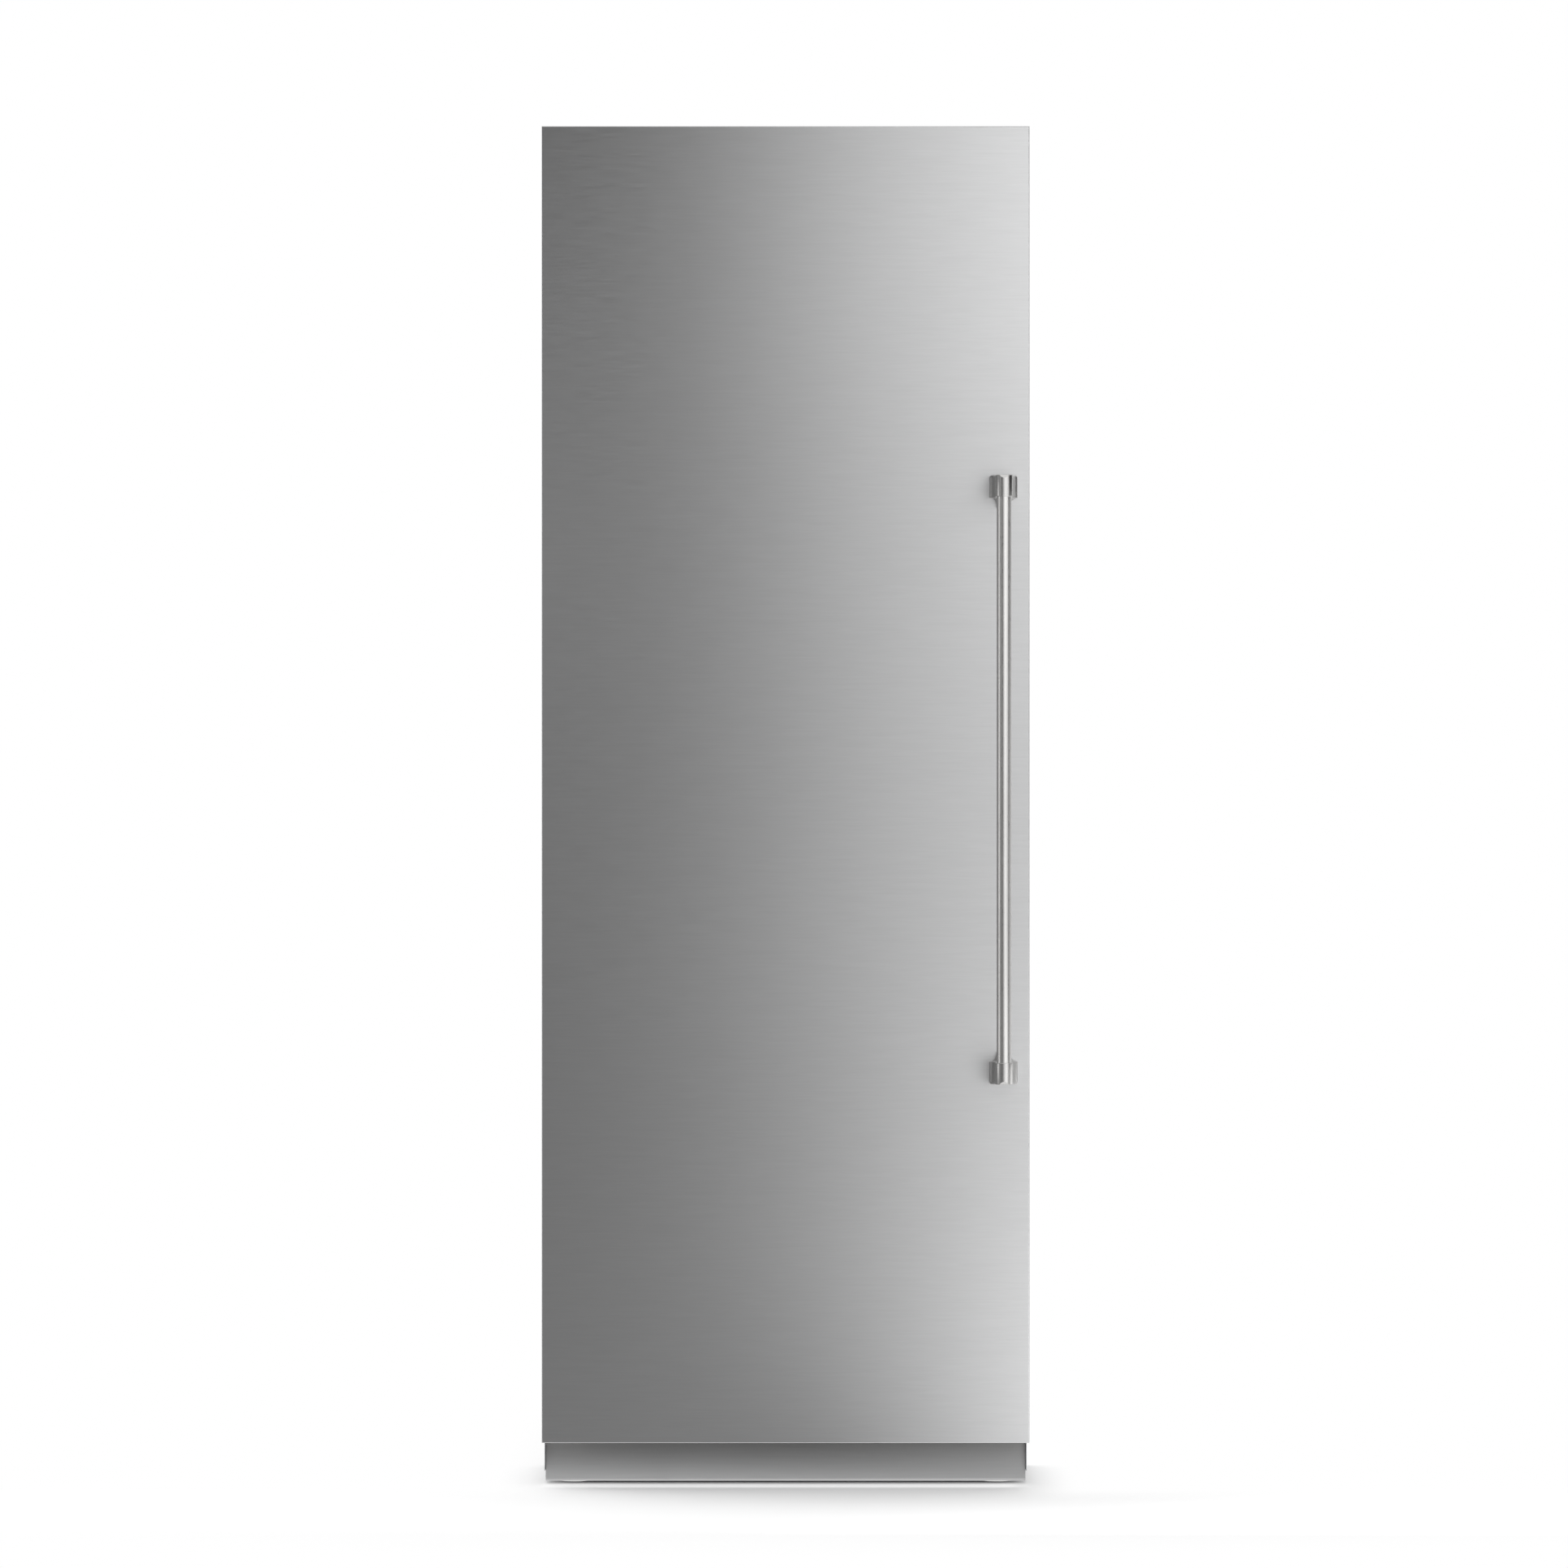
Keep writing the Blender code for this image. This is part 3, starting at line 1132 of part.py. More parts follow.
# Machine compartment
def compressor():
    """A welded steel pot on a foot plate, with three pipe stubs and a terminal cover."""
    centre = (COMPRESSOR_X, COMPRESSOR_Y)
    bottom = COMPRESSOR_BODY_BOTTOM - COMPRESSOR_PLATE_SHEET
    sunk = COMPRESSOR_BODY_BOTTOM - EMBED
    profile = [(COMPRESSOR_RADIUS * radius_share, sunk + COMPRESSOR_BODY_HEIGHT * level_share)
               for radius_share, level_share in COMPRESSOR_PROFILE_SHARES]
    bm = bmesh.new()
    add_turned(bm, top_plane, centre, profile, ROUND_SIDES)
    made = piece("compressor", bm, "black_paint")
    plate = (*spread(COMPRESSOR_X, COMPRESSOR_PLATE_HALF), *spread(COMPRESSOR_Y, COMPRESSOR_PLATE_HALF))
    fuse_prism(made, top_plane, rounded(plate, COMPRESSOR_LEG_RADIUS), bottom, COMPRESSOR_BODY_BOTTOM)
    foot = [(COMPRESSOR_LEG_RADIUS, TRAY_FLOOR + FIT), (COMPRESSOR_LEG_RADIUS, bottom + EMBED)]
    for foot_x in (COMPRESSOR_X - COMPRESSOR_LEG_SPREAD, COMPRESSOR_X + COMPRESSOR_LEG_SPREAD):
        for foot_y in (COMPRESSOR_Y - COMPRESSOR_LEG_SPREAD, COMPRESSOR_Y + COMPRESSOR_LEG_SPREAD):
            fuse_turned(made, top_plane, (foot_x, foot_y), foot, SMALL_SIDES)
    stub = [(STUB_RADIUS, COMPRESSOR_X - COMPRESSOR_RADIUS - STUB_LENGTH), (STUB_RADIUS, COMPRESSOR_X)]
    fuse_turned(made, side_plane, (COMPRESSOR_Y, stub_level()), stub, SMALL_SIDES)
    middle = COMPRESSOR_BODY_BOTTOM + COMPRESSOR_BODY_HEIGHT * TERMINAL_HEIGHT_SHARE
    fuse_box(made, spread(COMPRESSOR_X, TERMINAL_WIDTH / 2),
             (COMPRESSOR_Y - COMPRESSOR_RADIUS - TERMINAL_REACH, COMPRESSOR_Y),
             spread(middle, TERMINAL_HEIGHT / 2))
    smooth_shade(made)


def stub_level():
    return COMPRESSOR_BODY_BOTTOM + COMPRESSOR_BODY_HEIGHT * STUB_HEIGHT_SHARE


def tube_centres(box, tubes):
    """The tubes' places on a fin: its middle across, and evenly spaced up it."""
    low_u, high_u, low_v, high_v = box
    pitch = (high_v - low_v) / tubes
    return [((low_u + high_u) / 2, low_v + pitch * (index + 0.5)) for index in range(tubes)]


def finned_coil(name, plane, box, start, stop, fins, tubes, finish):
    """Fins in a row on one tube that runs through them to and fro, with a bend at each turn."""
    centres = tube_centres(box, tubes)
    pitch = (stop - start - FIN_SHEET) / (fins - 1)
    bm = bmesh.new()

    def ring_at(centre, level):
        return [bm.verts.new(plane(u, v, level)) for u, v in circle(*centre, TUBE_RADIUS, TUBE_SIDES)]

    def join(near, far):
        for index in range(len(near)):
            bm.faces.new((near[index - 1], near[index], far[index], far[index - 1]))

    def fin_face(level):
        outer = [bm.verts.new(plane(u, v, level)) for u, v in corners(box)]
        rings = [ring_at(centre, level) for centre in centres]
        edges = []
        for loop in (outer, *rings):
            edges += [bm.edges.new((loop[index - 1], loop[index])) for index in range(len(loop))]
        bmesh.ops.triangle_fill(bm, edges=edges, use_beauty=True, use_dissolve=False)
        return outer, rings

    last = None
    for index in range(fins):
        level = start + pitch * index
        near_outer, near_rings = fin_face(level)
        far_outer, far_rings = fin_face(level + FIN_SHEET)
        join(near_outer, far_outer)
        if last is None:
            first = near_rings
        else:
            for near, far in zip(last, near_rings):
                join(near, far)
        last = far_rings

    def add_bend(rings, lower, level, way):
        """Half a turn of tube from one hole of the end fin to the next one up."""
        (across, low), (_, high) = centres[lower], centres[lower + 1]
        radius = (high - low) / 2
        near = rings[lower]
        for step in range(1, TUBE_BEND_STEPS):
            angle = math.radians(180 * step / TUBE_BEND_STEPS)
            far = []
            for u, v in circle(0, 0, TUBE_RADIUS, TUBE_SIDES):
                arm = radius - v
                far.append(bm.verts.new(plane(across + u, (low + high) / 2 - arm * math.cos(angle),
                                              level + way * arm * math.sin(angle))))
            join(near, far)
            near = far
        join(near, [rings[lower + 1][-index % TUBE_SIDES] for index in range(TUBE_SIDES)])

    for lower in range(0, tubes - 1, 2):
        add_bend(last, lower, start + pitch * (fins - 1) + FIN_SHEET, 1)
    for lower in range(1, tubes - 1, 2):
        add_bend(first, lower, start, -1)
    for open_end in (0, tubes - 1):
        tip = ring_at(centres[open_end], start - TUBE_STUB)
        join(first[open_end], tip)
        bm.faces.new(tip)
    return piece(name, bm, finish)


def condenser_box():
    return CONDENSER_LEFT, CONDENSER_RIGHT, TRAY_FLOOR + FIT, CONDENSER_TOP


def condenser():
    finned_coil("condenser", front_plane, condenser_box(), CONDENSER_FRONT, CONDENSER_BACK,
                CONDENSER_FINS, CONDENSER_TUBES, "black_paint")


def add_fan(bm_name, plane, centre, start, depth, radius, finish):
    """A hub with twisted blades. The hub is bored for the motor's shaft, from its far end."""
    bm = bmesh.new()
    add_turned(bm, plane, centre, [(HUB_RADIUS - EDGE_ROUND, start), (HUB_RADIUS, start + EDGE_ROUND),
                                   (HUB_RADIUS, start + depth)], ROUND_SIDES)
    made = piece(bm_name, bm, finish)
    middle = start + depth / 2
    for blade in range(FAN_BLADES):
        turn = math.radians(360 * blade / FAN_BLADES)
        rings = []
        for reach_share, chord_share, pitch_angle in BLADE_SECTION_SHARES:
            reach = min(HUB_RADIUS * reach_share, radius)
            slant = math.radians(pitch_angle)
            half_chord = min(chord_share * radius, depth / math.sin(slant) - BLADE_THICKNESS) / 2
            section = []
            for along, over in ((-1, -1), (1, -1), (1, 1), (-1, 1)):
                sweep = along * half_chord * math.cos(slant) - over * BLADE_THICKNESS / 2 * math.sin(slant)
                level = along * half_chord * math.sin(slant) + over * BLADE_THICKNESS / 2 * math.cos(slant)
                section.append((reach * math.cos(turn) - sweep * math.sin(turn),
                                reach * math.sin(turn) + sweep * math.cos(turn), level))
            rings.append(section)
        blade_bm = bmesh.new()
        loops = [[blade_bm.verts.new(plane(centre[0] + u, centre[1] + v, middle + level))
                  for u, v, level in section] for section in rings]
        blade_bm.faces.new(loops[0])
        blade_bm.faces.new(loops[-1])
        for near, far in zip(loops, loops[1:]):
            for index in range(len(near)):
                blade_bm.faces.new((near[index - 1], near[index], far[index], far[index - 1]))
        combine(made, blade_bm, "UNION")
    drill(made, plane, centre, MOTOR_SHAFT_RADIUS + FIT, start + depth * (1 - HUB_BLIND_SHARE),
          start + depth + OVERRUN)
    return made


def add_motor(name, plane, centre, start, length, radius, finish, shaft_reach):
    """A small motor whose shaft points towards lower levels, into a fan's hub."""
    bm = bmesh.new()
    profile = [(MOTOR_SHAFT_RADIUS, start - shaft_reach), (MOTOR_SHAFT_RADIUS, start),
               (radius - MOTOR_BEVEL, start), (radius, start + MOTOR_BEVEL),
               (radius, start + length - MOTOR_BEVEL), (radius - MOTOR_BEVEL, start + length)]
    add_turned(bm, plane, centre, profile, ROUND_SIDES)
    return piece(name, bm, finish)


def condenser_fan():
    add_fan("condenser_fan", side_plane, (CONDENSER_FAN_Y, CONDENSER_FAN_Z), FAN_START_X, FAN_DEPTH,
            FAN_RADIUS, "black_plastic")


def condenser_fan_motor():
    reach = EVAPORATOR_FAN_GAP + FAN_DEPTH * HUB_BLIND_SHARE - FIT
    add_motor("condenser_fan_motor", side_plane, (CONDENSER_FAN_Y, CONDENSER_FAN_Z), MOTOR_START_X,
              MOTOR_LENGTH, MOTOR_RADIUS, "zinc_steel", reach)


def condenser_shroud():
    """A plate with a round throat for the fan, and a bridge of struts that holds the motor."""
    outer = FAN_RADIUS + SHROUD_BORE_CLEARANCE
    half = outer + SHROUD_MARGIN
    box = (*spread(CONDENSER_FAN_Y, CONDENSER_LENGTH / 2), TRAY_FLOOR + FIT, CONDENSER_FAN_Z + half)
    bm = bmesh.new()
    add_prism(bm, side_plane, corners(box), SHROUD_X, SHROUD_X + SHROUD_SHEET,
              [circle(CONDENSER_FAN_Y, CONDENSER_FAN_Z, outer, FINE_SIDES)])
    made = piece("condenser_shroud", bm, "black_plastic")
    bridge = MOTOR_START_X + MOTOR_LENGTH + FIT
    ends = (SHROUD_X + EMBED, bridge + STRUT_THICKNESS)
    for side in (-1, 1):
        centre = CONDENSER_FAN_Y + side * (outer + SHROUD_MARGIN / 2)
        fuse_box(made, ends, spread(centre, STRUT_THICKNESS / 2), spread(CONDENSER_FAN_Z, STRUT_WIDTH / 2))
    fuse_box(made, (bridge, bridge + STRUT_THICKNESS), spread(CONDENSER_FAN_Y, outer + SHROUD_MARGIN / 2),
             spread(CONDENSER_FAN_Z, STRUT_WIDTH / 2))


def drain_pan():
    left = -HALF_CASE + DRAIN_PAN_INSET
    back = BOX_BACK - TRAY_SHEET - DRAIN_PAN_SETBACK
    bm = bmesh.new()
    add_tub(bm, (left, left + DRAIN_PAN_WIDTH, back - DRAIN_PAN_LENGTH, back), TRAY_FLOOR + FIT,
            TRAY_FLOOR + FIT + DRAIN_PAN_HEIGHT, DRAIN_PAN_WALL, DRAIN_PAN_DRAFT, DRAWER_CORNER)
    piece("drain_pan", bm, "black_plastic")


def control_box():
    """The electronics housing: a base and a lid that steps over it, closed as one."""
    right = TRAY_HALF - TRAY_SHEET - CONTROL_BOX_INSET
    front = CASE_FRONT + CONTROL_BOX_SETBACK
    lid = (right - CONTROL_BOX_WIDTH, right, front, front + CONTROL_BOX_LENGTH)
    base = grown(lid, -CONTROL_BOX_LID_STEP)
    bottom = TRAY_FLOOR + FIT
    step = bottom + CONTROL_BOX_HEIGHT * CONTROL_BOX_LID_SHARE
    top = bottom + CONTROL_BOX_HEIGHT
    base_outline = rounded(base, CONTROL_BOX_LID_STEP)
    lid_outline = rounded(lid, CONTROL_BOX_LID_STEP)
    top_outline = rounded(grown(lid, -EDGE_ROUND), CONTROL_BOX_LID_STEP)
    bm = bmesh.new()
    add_loft(bm, top_plane, [(base_outline, bottom), (base_outline, step), (lid_outline, step),
                             (lid_outline, top - EDGE_ROUND), (top_outline, top)])
    piece("control_box", bm, "grey_plastic")


def discharge_line():
    """The copper pipe from the compressor's stub to the condenser's upper tube."""
    across, level = tube_centres(condenser_box(), CONDENSER_TUBES)[-1]
    start = Vector((COMPRESSOR_X - COMPRESSOR_RADIUS - STUB_LENGTH - FIT, COMPRESSOR_Y, stub_level()))
    stop = Vector((across, CONDENSER_FRONT - TUBE_STUB - FIT, level))
    run = -HALF_CASE + CONDENSER_INSET / 2
    lead = TUBE_STUB * 2
    high = DECK_HEIGHT - TUBE_STUB
    rear = CONDENSER_BACK + lead * 2
    front = CONDENSER_FRONT - lead
    route = [start, start - Vector((lead / 2, 0, 0)),
             Vector((start.x - lead, COMPRESSOR_Y, high - LINE_RADIUS)),
             Vector((start.x - lead * 2, rear - lead, high)), Vector((across, rear, high)),
             Vector((run, rear - lead, high)), Vector((run, CONDENSER_FAN_Y, high)),
             Vector((run, front + lead, high)), Vector((run + lead / 2, front, level + lead / 4)),
             stop - Vector((0, lead / 3, 0)), stop]
    points = [start] + smooth_route(route[1:-1]) + [stop]
    curve = bpy.data.curves.new("discharge_line", "CURVE")
    curve.dimensions = "3D"
    curve.bevel_depth = LINE_RADIUS
    curve.bevel_resolution = LINE_BEND_SIDES
    curve.use_fill_caps = True
    spline = curve.splines.new("POLY")
    spline.points.add(len(points) - 1)
    for target, point in zip(spline.points, points):
        target.co = (*point, 1)
    made = bpy.data.objects.new("discharge_line", curve)
    bpy.context.scene.collection.objects.link(made)
    curve.materials.append(material_for("discharge_line", "copper"))


def smooth_route(route):
    """Points on a smooth curve through the route's own points."""
    points = []
    for index in range(len(route) - 1):
        before = route[max(index - 1, 0)]
        start, stop = route[index], route[index + 1]
        after = route[min(index + 2, len(route) - 1)]
        for step in range(LINE_STEPS):
            t = step / LINE_STEPS
            bend = 2 * before - 5 * start + 4 * stop - after
            twist = 3 * start - before - 3 * stop + after
            points.append((2 * start + (stop - before) * t + bend * t ** 2 + twist * t ** 3) / 2)
    return points + [route[-1]]


def filter_drier():
    """The drier on the condenser's outlet. The capillary pipe would leave its front end."""
    centre = tube_centres(condenser_box(), CONDENSER_TUBES)[0]
    start = CONDENSER_FRONT - TUBE_STUB - FIT
    profile = [(DRIER_RADIUS * radius_share, start - DRIER_LENGTH * length_share)
               for radius_share, length_share in DRIER_PROFILE_SHARES]
    bm = bmesh.new()
    add_turned(bm, front_plane, centre, profile, SMALL_SIDES)
    piece("filter_drier", bm, "copper", smooth=True)


# Air system behind the food space
def evaporator_cover():
    box = grown(CAVITY_BOX, -FIT)
    bm = bmesh.new()
    add_pan(bm, front_plane, box, COVER_FRONT, CAVITY_BACK - FIT, COVER_SHEET, COVER_BEND, LINER_CORNER)
    made = piece("evaporator_cover", bm, "white_plastic")
    through = (COVER_FRONT - OVERRUN, COVER_FRONT + COVER_SHEET + OVERRUN)
    slots = []
    height = CAVITY_TOP - CAVITY_BOTTOM
    for level_share in VENT_LEVEL_SHARES:
        for side in (-1, 1):
            for index in range(VENTS_IN_GROUP):
                level = CAVITY_BOTTOM + level_share * height + index * VENT_PITCH
                across = spread(side * VENT_SPREAD, VENT_WIDTH / 2)
                slots.append((across, through, spread(level, VENT_HEIGHT / 2)))
    returns = (*spread(0, HALF_CAVITY - RETURN_VENT_MARGIN),
               *spread(CAVITY_BOTTOM + RETURN_VENT_RISE, RETURN_VENT_HEIGHT / 2))
    for left, right, bottom, top in slot_grid(returns, 1, RETURN_VENTS, RETURN_VENT_BAR):
        slots.append(((left, right), through, (bottom, top)))
    for index in range(FAN_GRILLE_BARS):
        offset = (index - (FAN_GRILLE_BARS - 1) / 2) * FAN_GRILLE_PITCH
        half = math.sqrt(FAN_GRILLE_RADIUS ** 2 - offset ** 2)
        slots.append((spread(0, half), through, spread(EVAPORATOR_FAN_Z + offset, FAN_GRILLE_SLOT / 2)))
    cut_boxes(made, slots)


def evaporator_coil():
    back = CAVITY_BACK - FIT
    box = (back - EVAPORATOR_DEPTH, back, CAVITY_BOTTOM + EVAPORATOR_RISE,
           CAVITY_BOTTOM + EVAPORATOR_RISE + EVAPORATOR_HEIGHT)
    finned_coil("evaporator_coil", side_plane, box, -EVAPORATOR_WIDTH / 2, EVAPORATOR_WIDTH / 2,
                EVAPORATOR_FINS, EVAPORATOR_TUBES, "aluminium")


def evaporator_motor_start():
    return CAVITY_BACK - FIT - EVAPORATOR_MOTOR_LENGTH


def evaporator_fan():
    start = evaporator_motor_start() - EVAPORATOR_FAN_GAP - EVAPORATOR_FAN_DEPTH
    add_fan("evaporator_fan", front_plane, (0, EVAPORATOR_FAN_Z), start, EVAPORATOR_FAN_DEPTH,
            EVAPORATOR_FAN_RADIUS, "white_plastic")


def evaporator_fan_motor():
    reach = EVAPORATOR_FAN_GAP + EVAPORATOR_FAN_DEPTH * HUB_BLIND_SHARE - FIT
    add_motor("evaporator_fan_motor", front_plane, (0, EVAPORATOR_FAN_Z), evaporator_motor_start(),
              EVAPORATOR_MOTOR_LENGTH, EVAPORATOR_MOTOR_RADIUS, "zinc_steel", reach)


# Shelves
def slot_bottom(number):
    return LADDER_BOTTOM + LADDER_MARGIN + number * LADDER_PITCH


def shelf_slot(share):
    """The number of the slot that a shelf's upper hooks hang in."""
    return round(share * (LADDER_SLOTS - 1))


def shelf_ladder(name, side):
    """An upright channel on the air cover, with a row of slots for the shelf hooks."""
    low, high = spread(side * LADDER_SPREAD, LADDER_WIDTH / 2)
    back = LADDER_FRONT + LADDER_DEPTH
    web = LADDER_FRONT + LADDER_WEB
    outline = [(low, LADDER_FRONT), (high, LADDER_FRONT), (high, back), (high - LADDER_WEB, back),
               (high - LADDER_WEB, web), (low + LADDER_WEB, web), (low + LADDER_WEB, back), (low, back)]
    top = slot_bottom(LADDER_SLOTS - 1) + SLOT_HEIGHT + LADDER_MARGIN
    bm = bmesh.new()
    add_prism(bm, top_plane, outline, LADDER_BOTTOM, top)
    made = piece(name, bm, "white_plastic")
    slots = []
    for number in range(LADDER_SLOTS):
        bottom = slot_bottom(number)
        slots.append((spread(side * LADDER_SPREAD, ARM_THICKNESS / 2 + SLOT_SIDE_CLEARANCE),
                      (LADDER_FRONT - OVERRUN, web + OVERRUN), (bottom, bottom + SLOT_HEIGHT)))
    cut_boxes(made, slots)


def arm_top(number):
    return slot_bottom(number) + ARM_TOP_ABOVE_SLOT - ARM_RELIEF


def shelf_seat(number):
    """The level that a shelf's glass lies on."""
    return slot_bottom(number) + ARM_TOP_ABOVE_SLOT


def arm_outline(number):
    """A shelf arm from the side: deep at its root, shallow at its tip, with two hooks for the ladder."""
    top = arm_top(number)
    front = SHELF_FRONT + RAIL_LIP / 2
    points = [(ARM_BACK, top), (front, top), (front, top - ARM_TIP_HEIGHT + RAIL_DROP / 2),
              (SHELF_FRONT + RAIL_LEDGE, top - ARM_TIP_HEIGHT), (ARM_BACK, top - ARM_ROOT_HEIGHT)]
    nose = LADDER_FRONT + LADDER_WEB + FIT
    for slot in (number - 1, number):
        rest = slot_bottom(slot) + FIT
        tip = nose + HOOK_THICKNESS
        points += [(ARM_BACK, rest), (nose, rest), (nose, rest - HOOK_DROP), (tip, rest - HOOK_DROP),
                   (tip, rest + HOOK_HEIGHT), (ARM_BACK, rest + HOOK_HEIGHT)]
    return points


def rail_outline(number, lip, way):
    """A glass rail from the side: a lip with a ledge behind it. Way is 1 where the ledge runs back."""
    seat = shelf_seat(number)
    offsets = [(0, -RAIL_DROP), (RAIL_LIP, -RAIL_DROP), (RAIL_LIP, -RAIL_PLATE), (RAIL_LEDGE, -RAIL_PLATE),
               (RAIL_LEDGE, 0), (RAIL_LIP, 0), (RAIL_LIP, GLASS_THICKNESS + ARM_RELIEF),
               (0, GLASS_THICKNESS + ARM_RELIEF)]
    return [(lip + way * along, seat + up) for along, up in offsets]


def shelf_frame(place, number):
    """Two cantilever arms joined by a front and a rear rail. The lower one also has drawer runners."""
    bm = bmesh.new()
    add_prism(bm, side_plane, rail_outline(number, SHELF_FRONT, 1), -SHELF_HALF, SHELF_HALF)
    made = piece("shelf_frame_" + place, bm, "brushed_steel")
    fuse_prism(made, side_plane, rail_outline(number, SHELF_BACK, -1), -SHELF_HALF, SHELF_HALF)
    for side in (-1, 1):
        start, stop = spread(side * LADDER_SPREAD, ARM_THICKNESS / 2)
        fuse_prism(made, side_plane, arm_outline(number), start, stop)
    if place == "lower":
        seat = shelf_seat(number)
        inner = LADDER_SPREAD - ARM_THICKNESS / 2
        web_face = inner + EMBED - RUNNER_SHEET
        run = (DRAWER_FACE + DRAWER_FRONT + RUNNER_LEDGE, SHELF_BACK - RAIL_LEDGE - RUNNER_LEDGE)
        for side in (-1, 1):
            web = sorted((side * (inner + EMBED), side * web_face))
            ledge = sorted((side * (inner + EMBED / 2), side * (web_face - RUNNER_LEDGE)))
            fuse_box(made, web, run, (seat - DELI_HANG, seat - RAIL_PLATE - ARM_RELIEF))
            fuse_box(made, ledge, run, (seat - DELI_HANG, seat - DELI_HANG + RUNNER_SHEET))


def shelf_glass(place, number):
    bottom = shelf_seat(number) + FIT
    box = (-SHELF_HALF, SHELF_HALF, SHELF_FRONT + RAIL_LIP + FIT, SHELF_BACK - RAIL_LIP - FIT)
    add_glass("shelf_glass_" + place, box, bottom)


def add_glass(name, box, bottom):
    inner = corners(grown(box, -GLASS_BEVEL))
    outer = corners(box)
    top = bottom + GLASS_THICKNESS
    bm = bmesh.new()
    add_loft(bm, top_plane, [(inner, bottom), (outer, bottom + GLASS_BEVEL),
                             (outer, top - GLASS_BEVEL), (inner, top)])
    piece(name, bm, "glass")


# Drawers
def drawer(name, left, right, rim, height, front_bottom, front_top):
    """A tub that hangs by its side flanges on two ledges, behind a front plate with a grip lip."""
    flange = DRAWER_FLANGE
    bm = bmesh.new()
    box = (left + flange, right - flange, DRAWER_FACE + DRAWER_FRONT + flange - EMBED,
           DRAWER_FACE + DRAWER_LENGTH - flange)
    add_tub(bm, box, rim - height, rim, DRAWER_WALL, DRAWER_DRAFT, DRAWER_CORNER,
            flange, DRAWER_FLANGE_SHEET)
    made = piece(name, bm, "clear_plastic")
    plate = (left, right, front_bottom, front_top)
    front_bm = bmesh.new()
    rings = [(rounded(grown(plate, -DRAWER_FRONT_ROUND), DRAWER_CORNER), DRAWER_FACE),
             (rounded(plate, DRAWER_CORNER), DRAWER_FACE + DRAWER_FRONT_ROUND),
             (rounded(plate, DRAWER_CORNER), DRAWER_FACE + DRAWER_FRONT)]
    add_loft(front_bm, front_plane, rings)
    combine(made, front_bm, "UNION")
    inner = (left + DRAWER_CORNER, right - DRAWER_CORNER)
    fuse_box(made, inner, (DRAWER_FACE - DRAWER_LIP_REACH, DRAWER_FACE + EMBED),
             (front_top - DRAWER_LIP_HEIGHT, front_top - DRAWER_LIP_HEIGHT + DRAWER_FLANGE_SHEET))


def deli_rim():
    seat = shelf_seat(shelf_slot(min(SHELF_SLOT_SHARES)))
    return seat - DELI_HANG + RUNNER_SHEET + FIT + DRAWER_FLANGE_SHEET


def deli_drawer():
    rim = deli_rim()
    half = LADDER_SPREAD - ARM_THICKNESS / 2 + EMBED - RUNNER_SHEET - DRAWER_SIDE_GAP
    front_top = shelf_seat(shelf_slot(min(SHELF_SLOT_SHARES))) - ARM_TIP_HEIGHT - DRAWER_SIDE_GAP
    drawer("deli_drawer", -half, half, rim, DELI_HEIGHT, rim - DELI_HEIGHT, front_top)


def crisper_rim():
    return CAVITY_BOTTOM + CRISPER_LEDGE_RISE + CRISPER_LEDGE + FIT + DRAWER_FLANGE_SHEET


def crisper(name, side):
    """One of the two crispers that hang side by side under the glass cover."""
    rim = crisper_rim()
    inner = HANGER_WEB / 2 + DRAWER_SIDE_GAP
    outer = CRISPER_HALF
    left, right = sorted((side * inner, side * outer))
    bottom = CAVITY_BOTTOM + CRISPER_LIFT
    front_top = CAVITY_BOTTOM + CRISPER_GLASS_RISE - DRAWER_SIDE_GAP
    drawer(name, left, right, rim, rim - bottom, bottom, front_top)


def crisper_frame():
    """The frame over the crispers: a rebate for the glass, side runners and a hanger between them."""
    half = HALF_CAVITY - FIT
    bottom = CAVITY_BOTTOM + CRISPER_GLASS_RISE
    top = bottom + CRISPER_FRAME_HEIGHT
    box = (-half, half, CASE_FRONT + CRISPER_FRAME_SETBACK, COVER_FRONT - CRISPER_FRAME_REAR_CLEARANCE)
    rebate = corners(grown(box, -CRISPER_REBATE))
    ledge = corners(grown(box, -CRISPER_FRAME_BAR))
    seat = top - GLASS_THICKNESS - FIT
    bm = bmesh.new()
    rings = [(corners(box), bottom), (corners(box), top), (rebate, top), (rebate, seat),
             (ledge, seat), (ledge, bottom)]
    add_loft(bm, top_plane, rings, closed=True)
    made = piece("crisper_frame", bm, "white_plastic")
    run = (DRAWER_FACE + DRAWER_FRONT + RUNNER_LEDGE, box[3] - RUNNER_LEDGE)
    ledge_bottom = CAVITY_BOTTOM + CRISPER_LEDGE_RISE
    runner_inner = CRISPER_HALF + DRAWER_SIDE_GAP
    for side in (-1, 1):
        block = sorted((side * (half - EMBED), side * runner_inner))
        shelf = sorted((side * (half - EMBED), side * (CRISPER_HALF - RUNNER_LEDGE)))
        fuse_box(made, block, run, (ledge_bottom, bottom + EMBED))
        fuse_box(made, shelf, run, (ledge_bottom, ledge_bottom + CRISPER_LEDGE))
    across = (box[2] + EMBED, box[3] - EMBED)
    fuse_box(made, spread(0, HANGER_FLANGE / 2), across, (bottom, bottom + RUNNER_SHEET))
    fuse_box(made, spread(0, HANGER_WEB / 2), run, (ledge_bottom, bottom + EMBED))
    fuse_box(made, spread(0, HANGER_FLANGE / 2), run, (ledge_bottom, ledge_bottom + CRISPER_LEDGE))


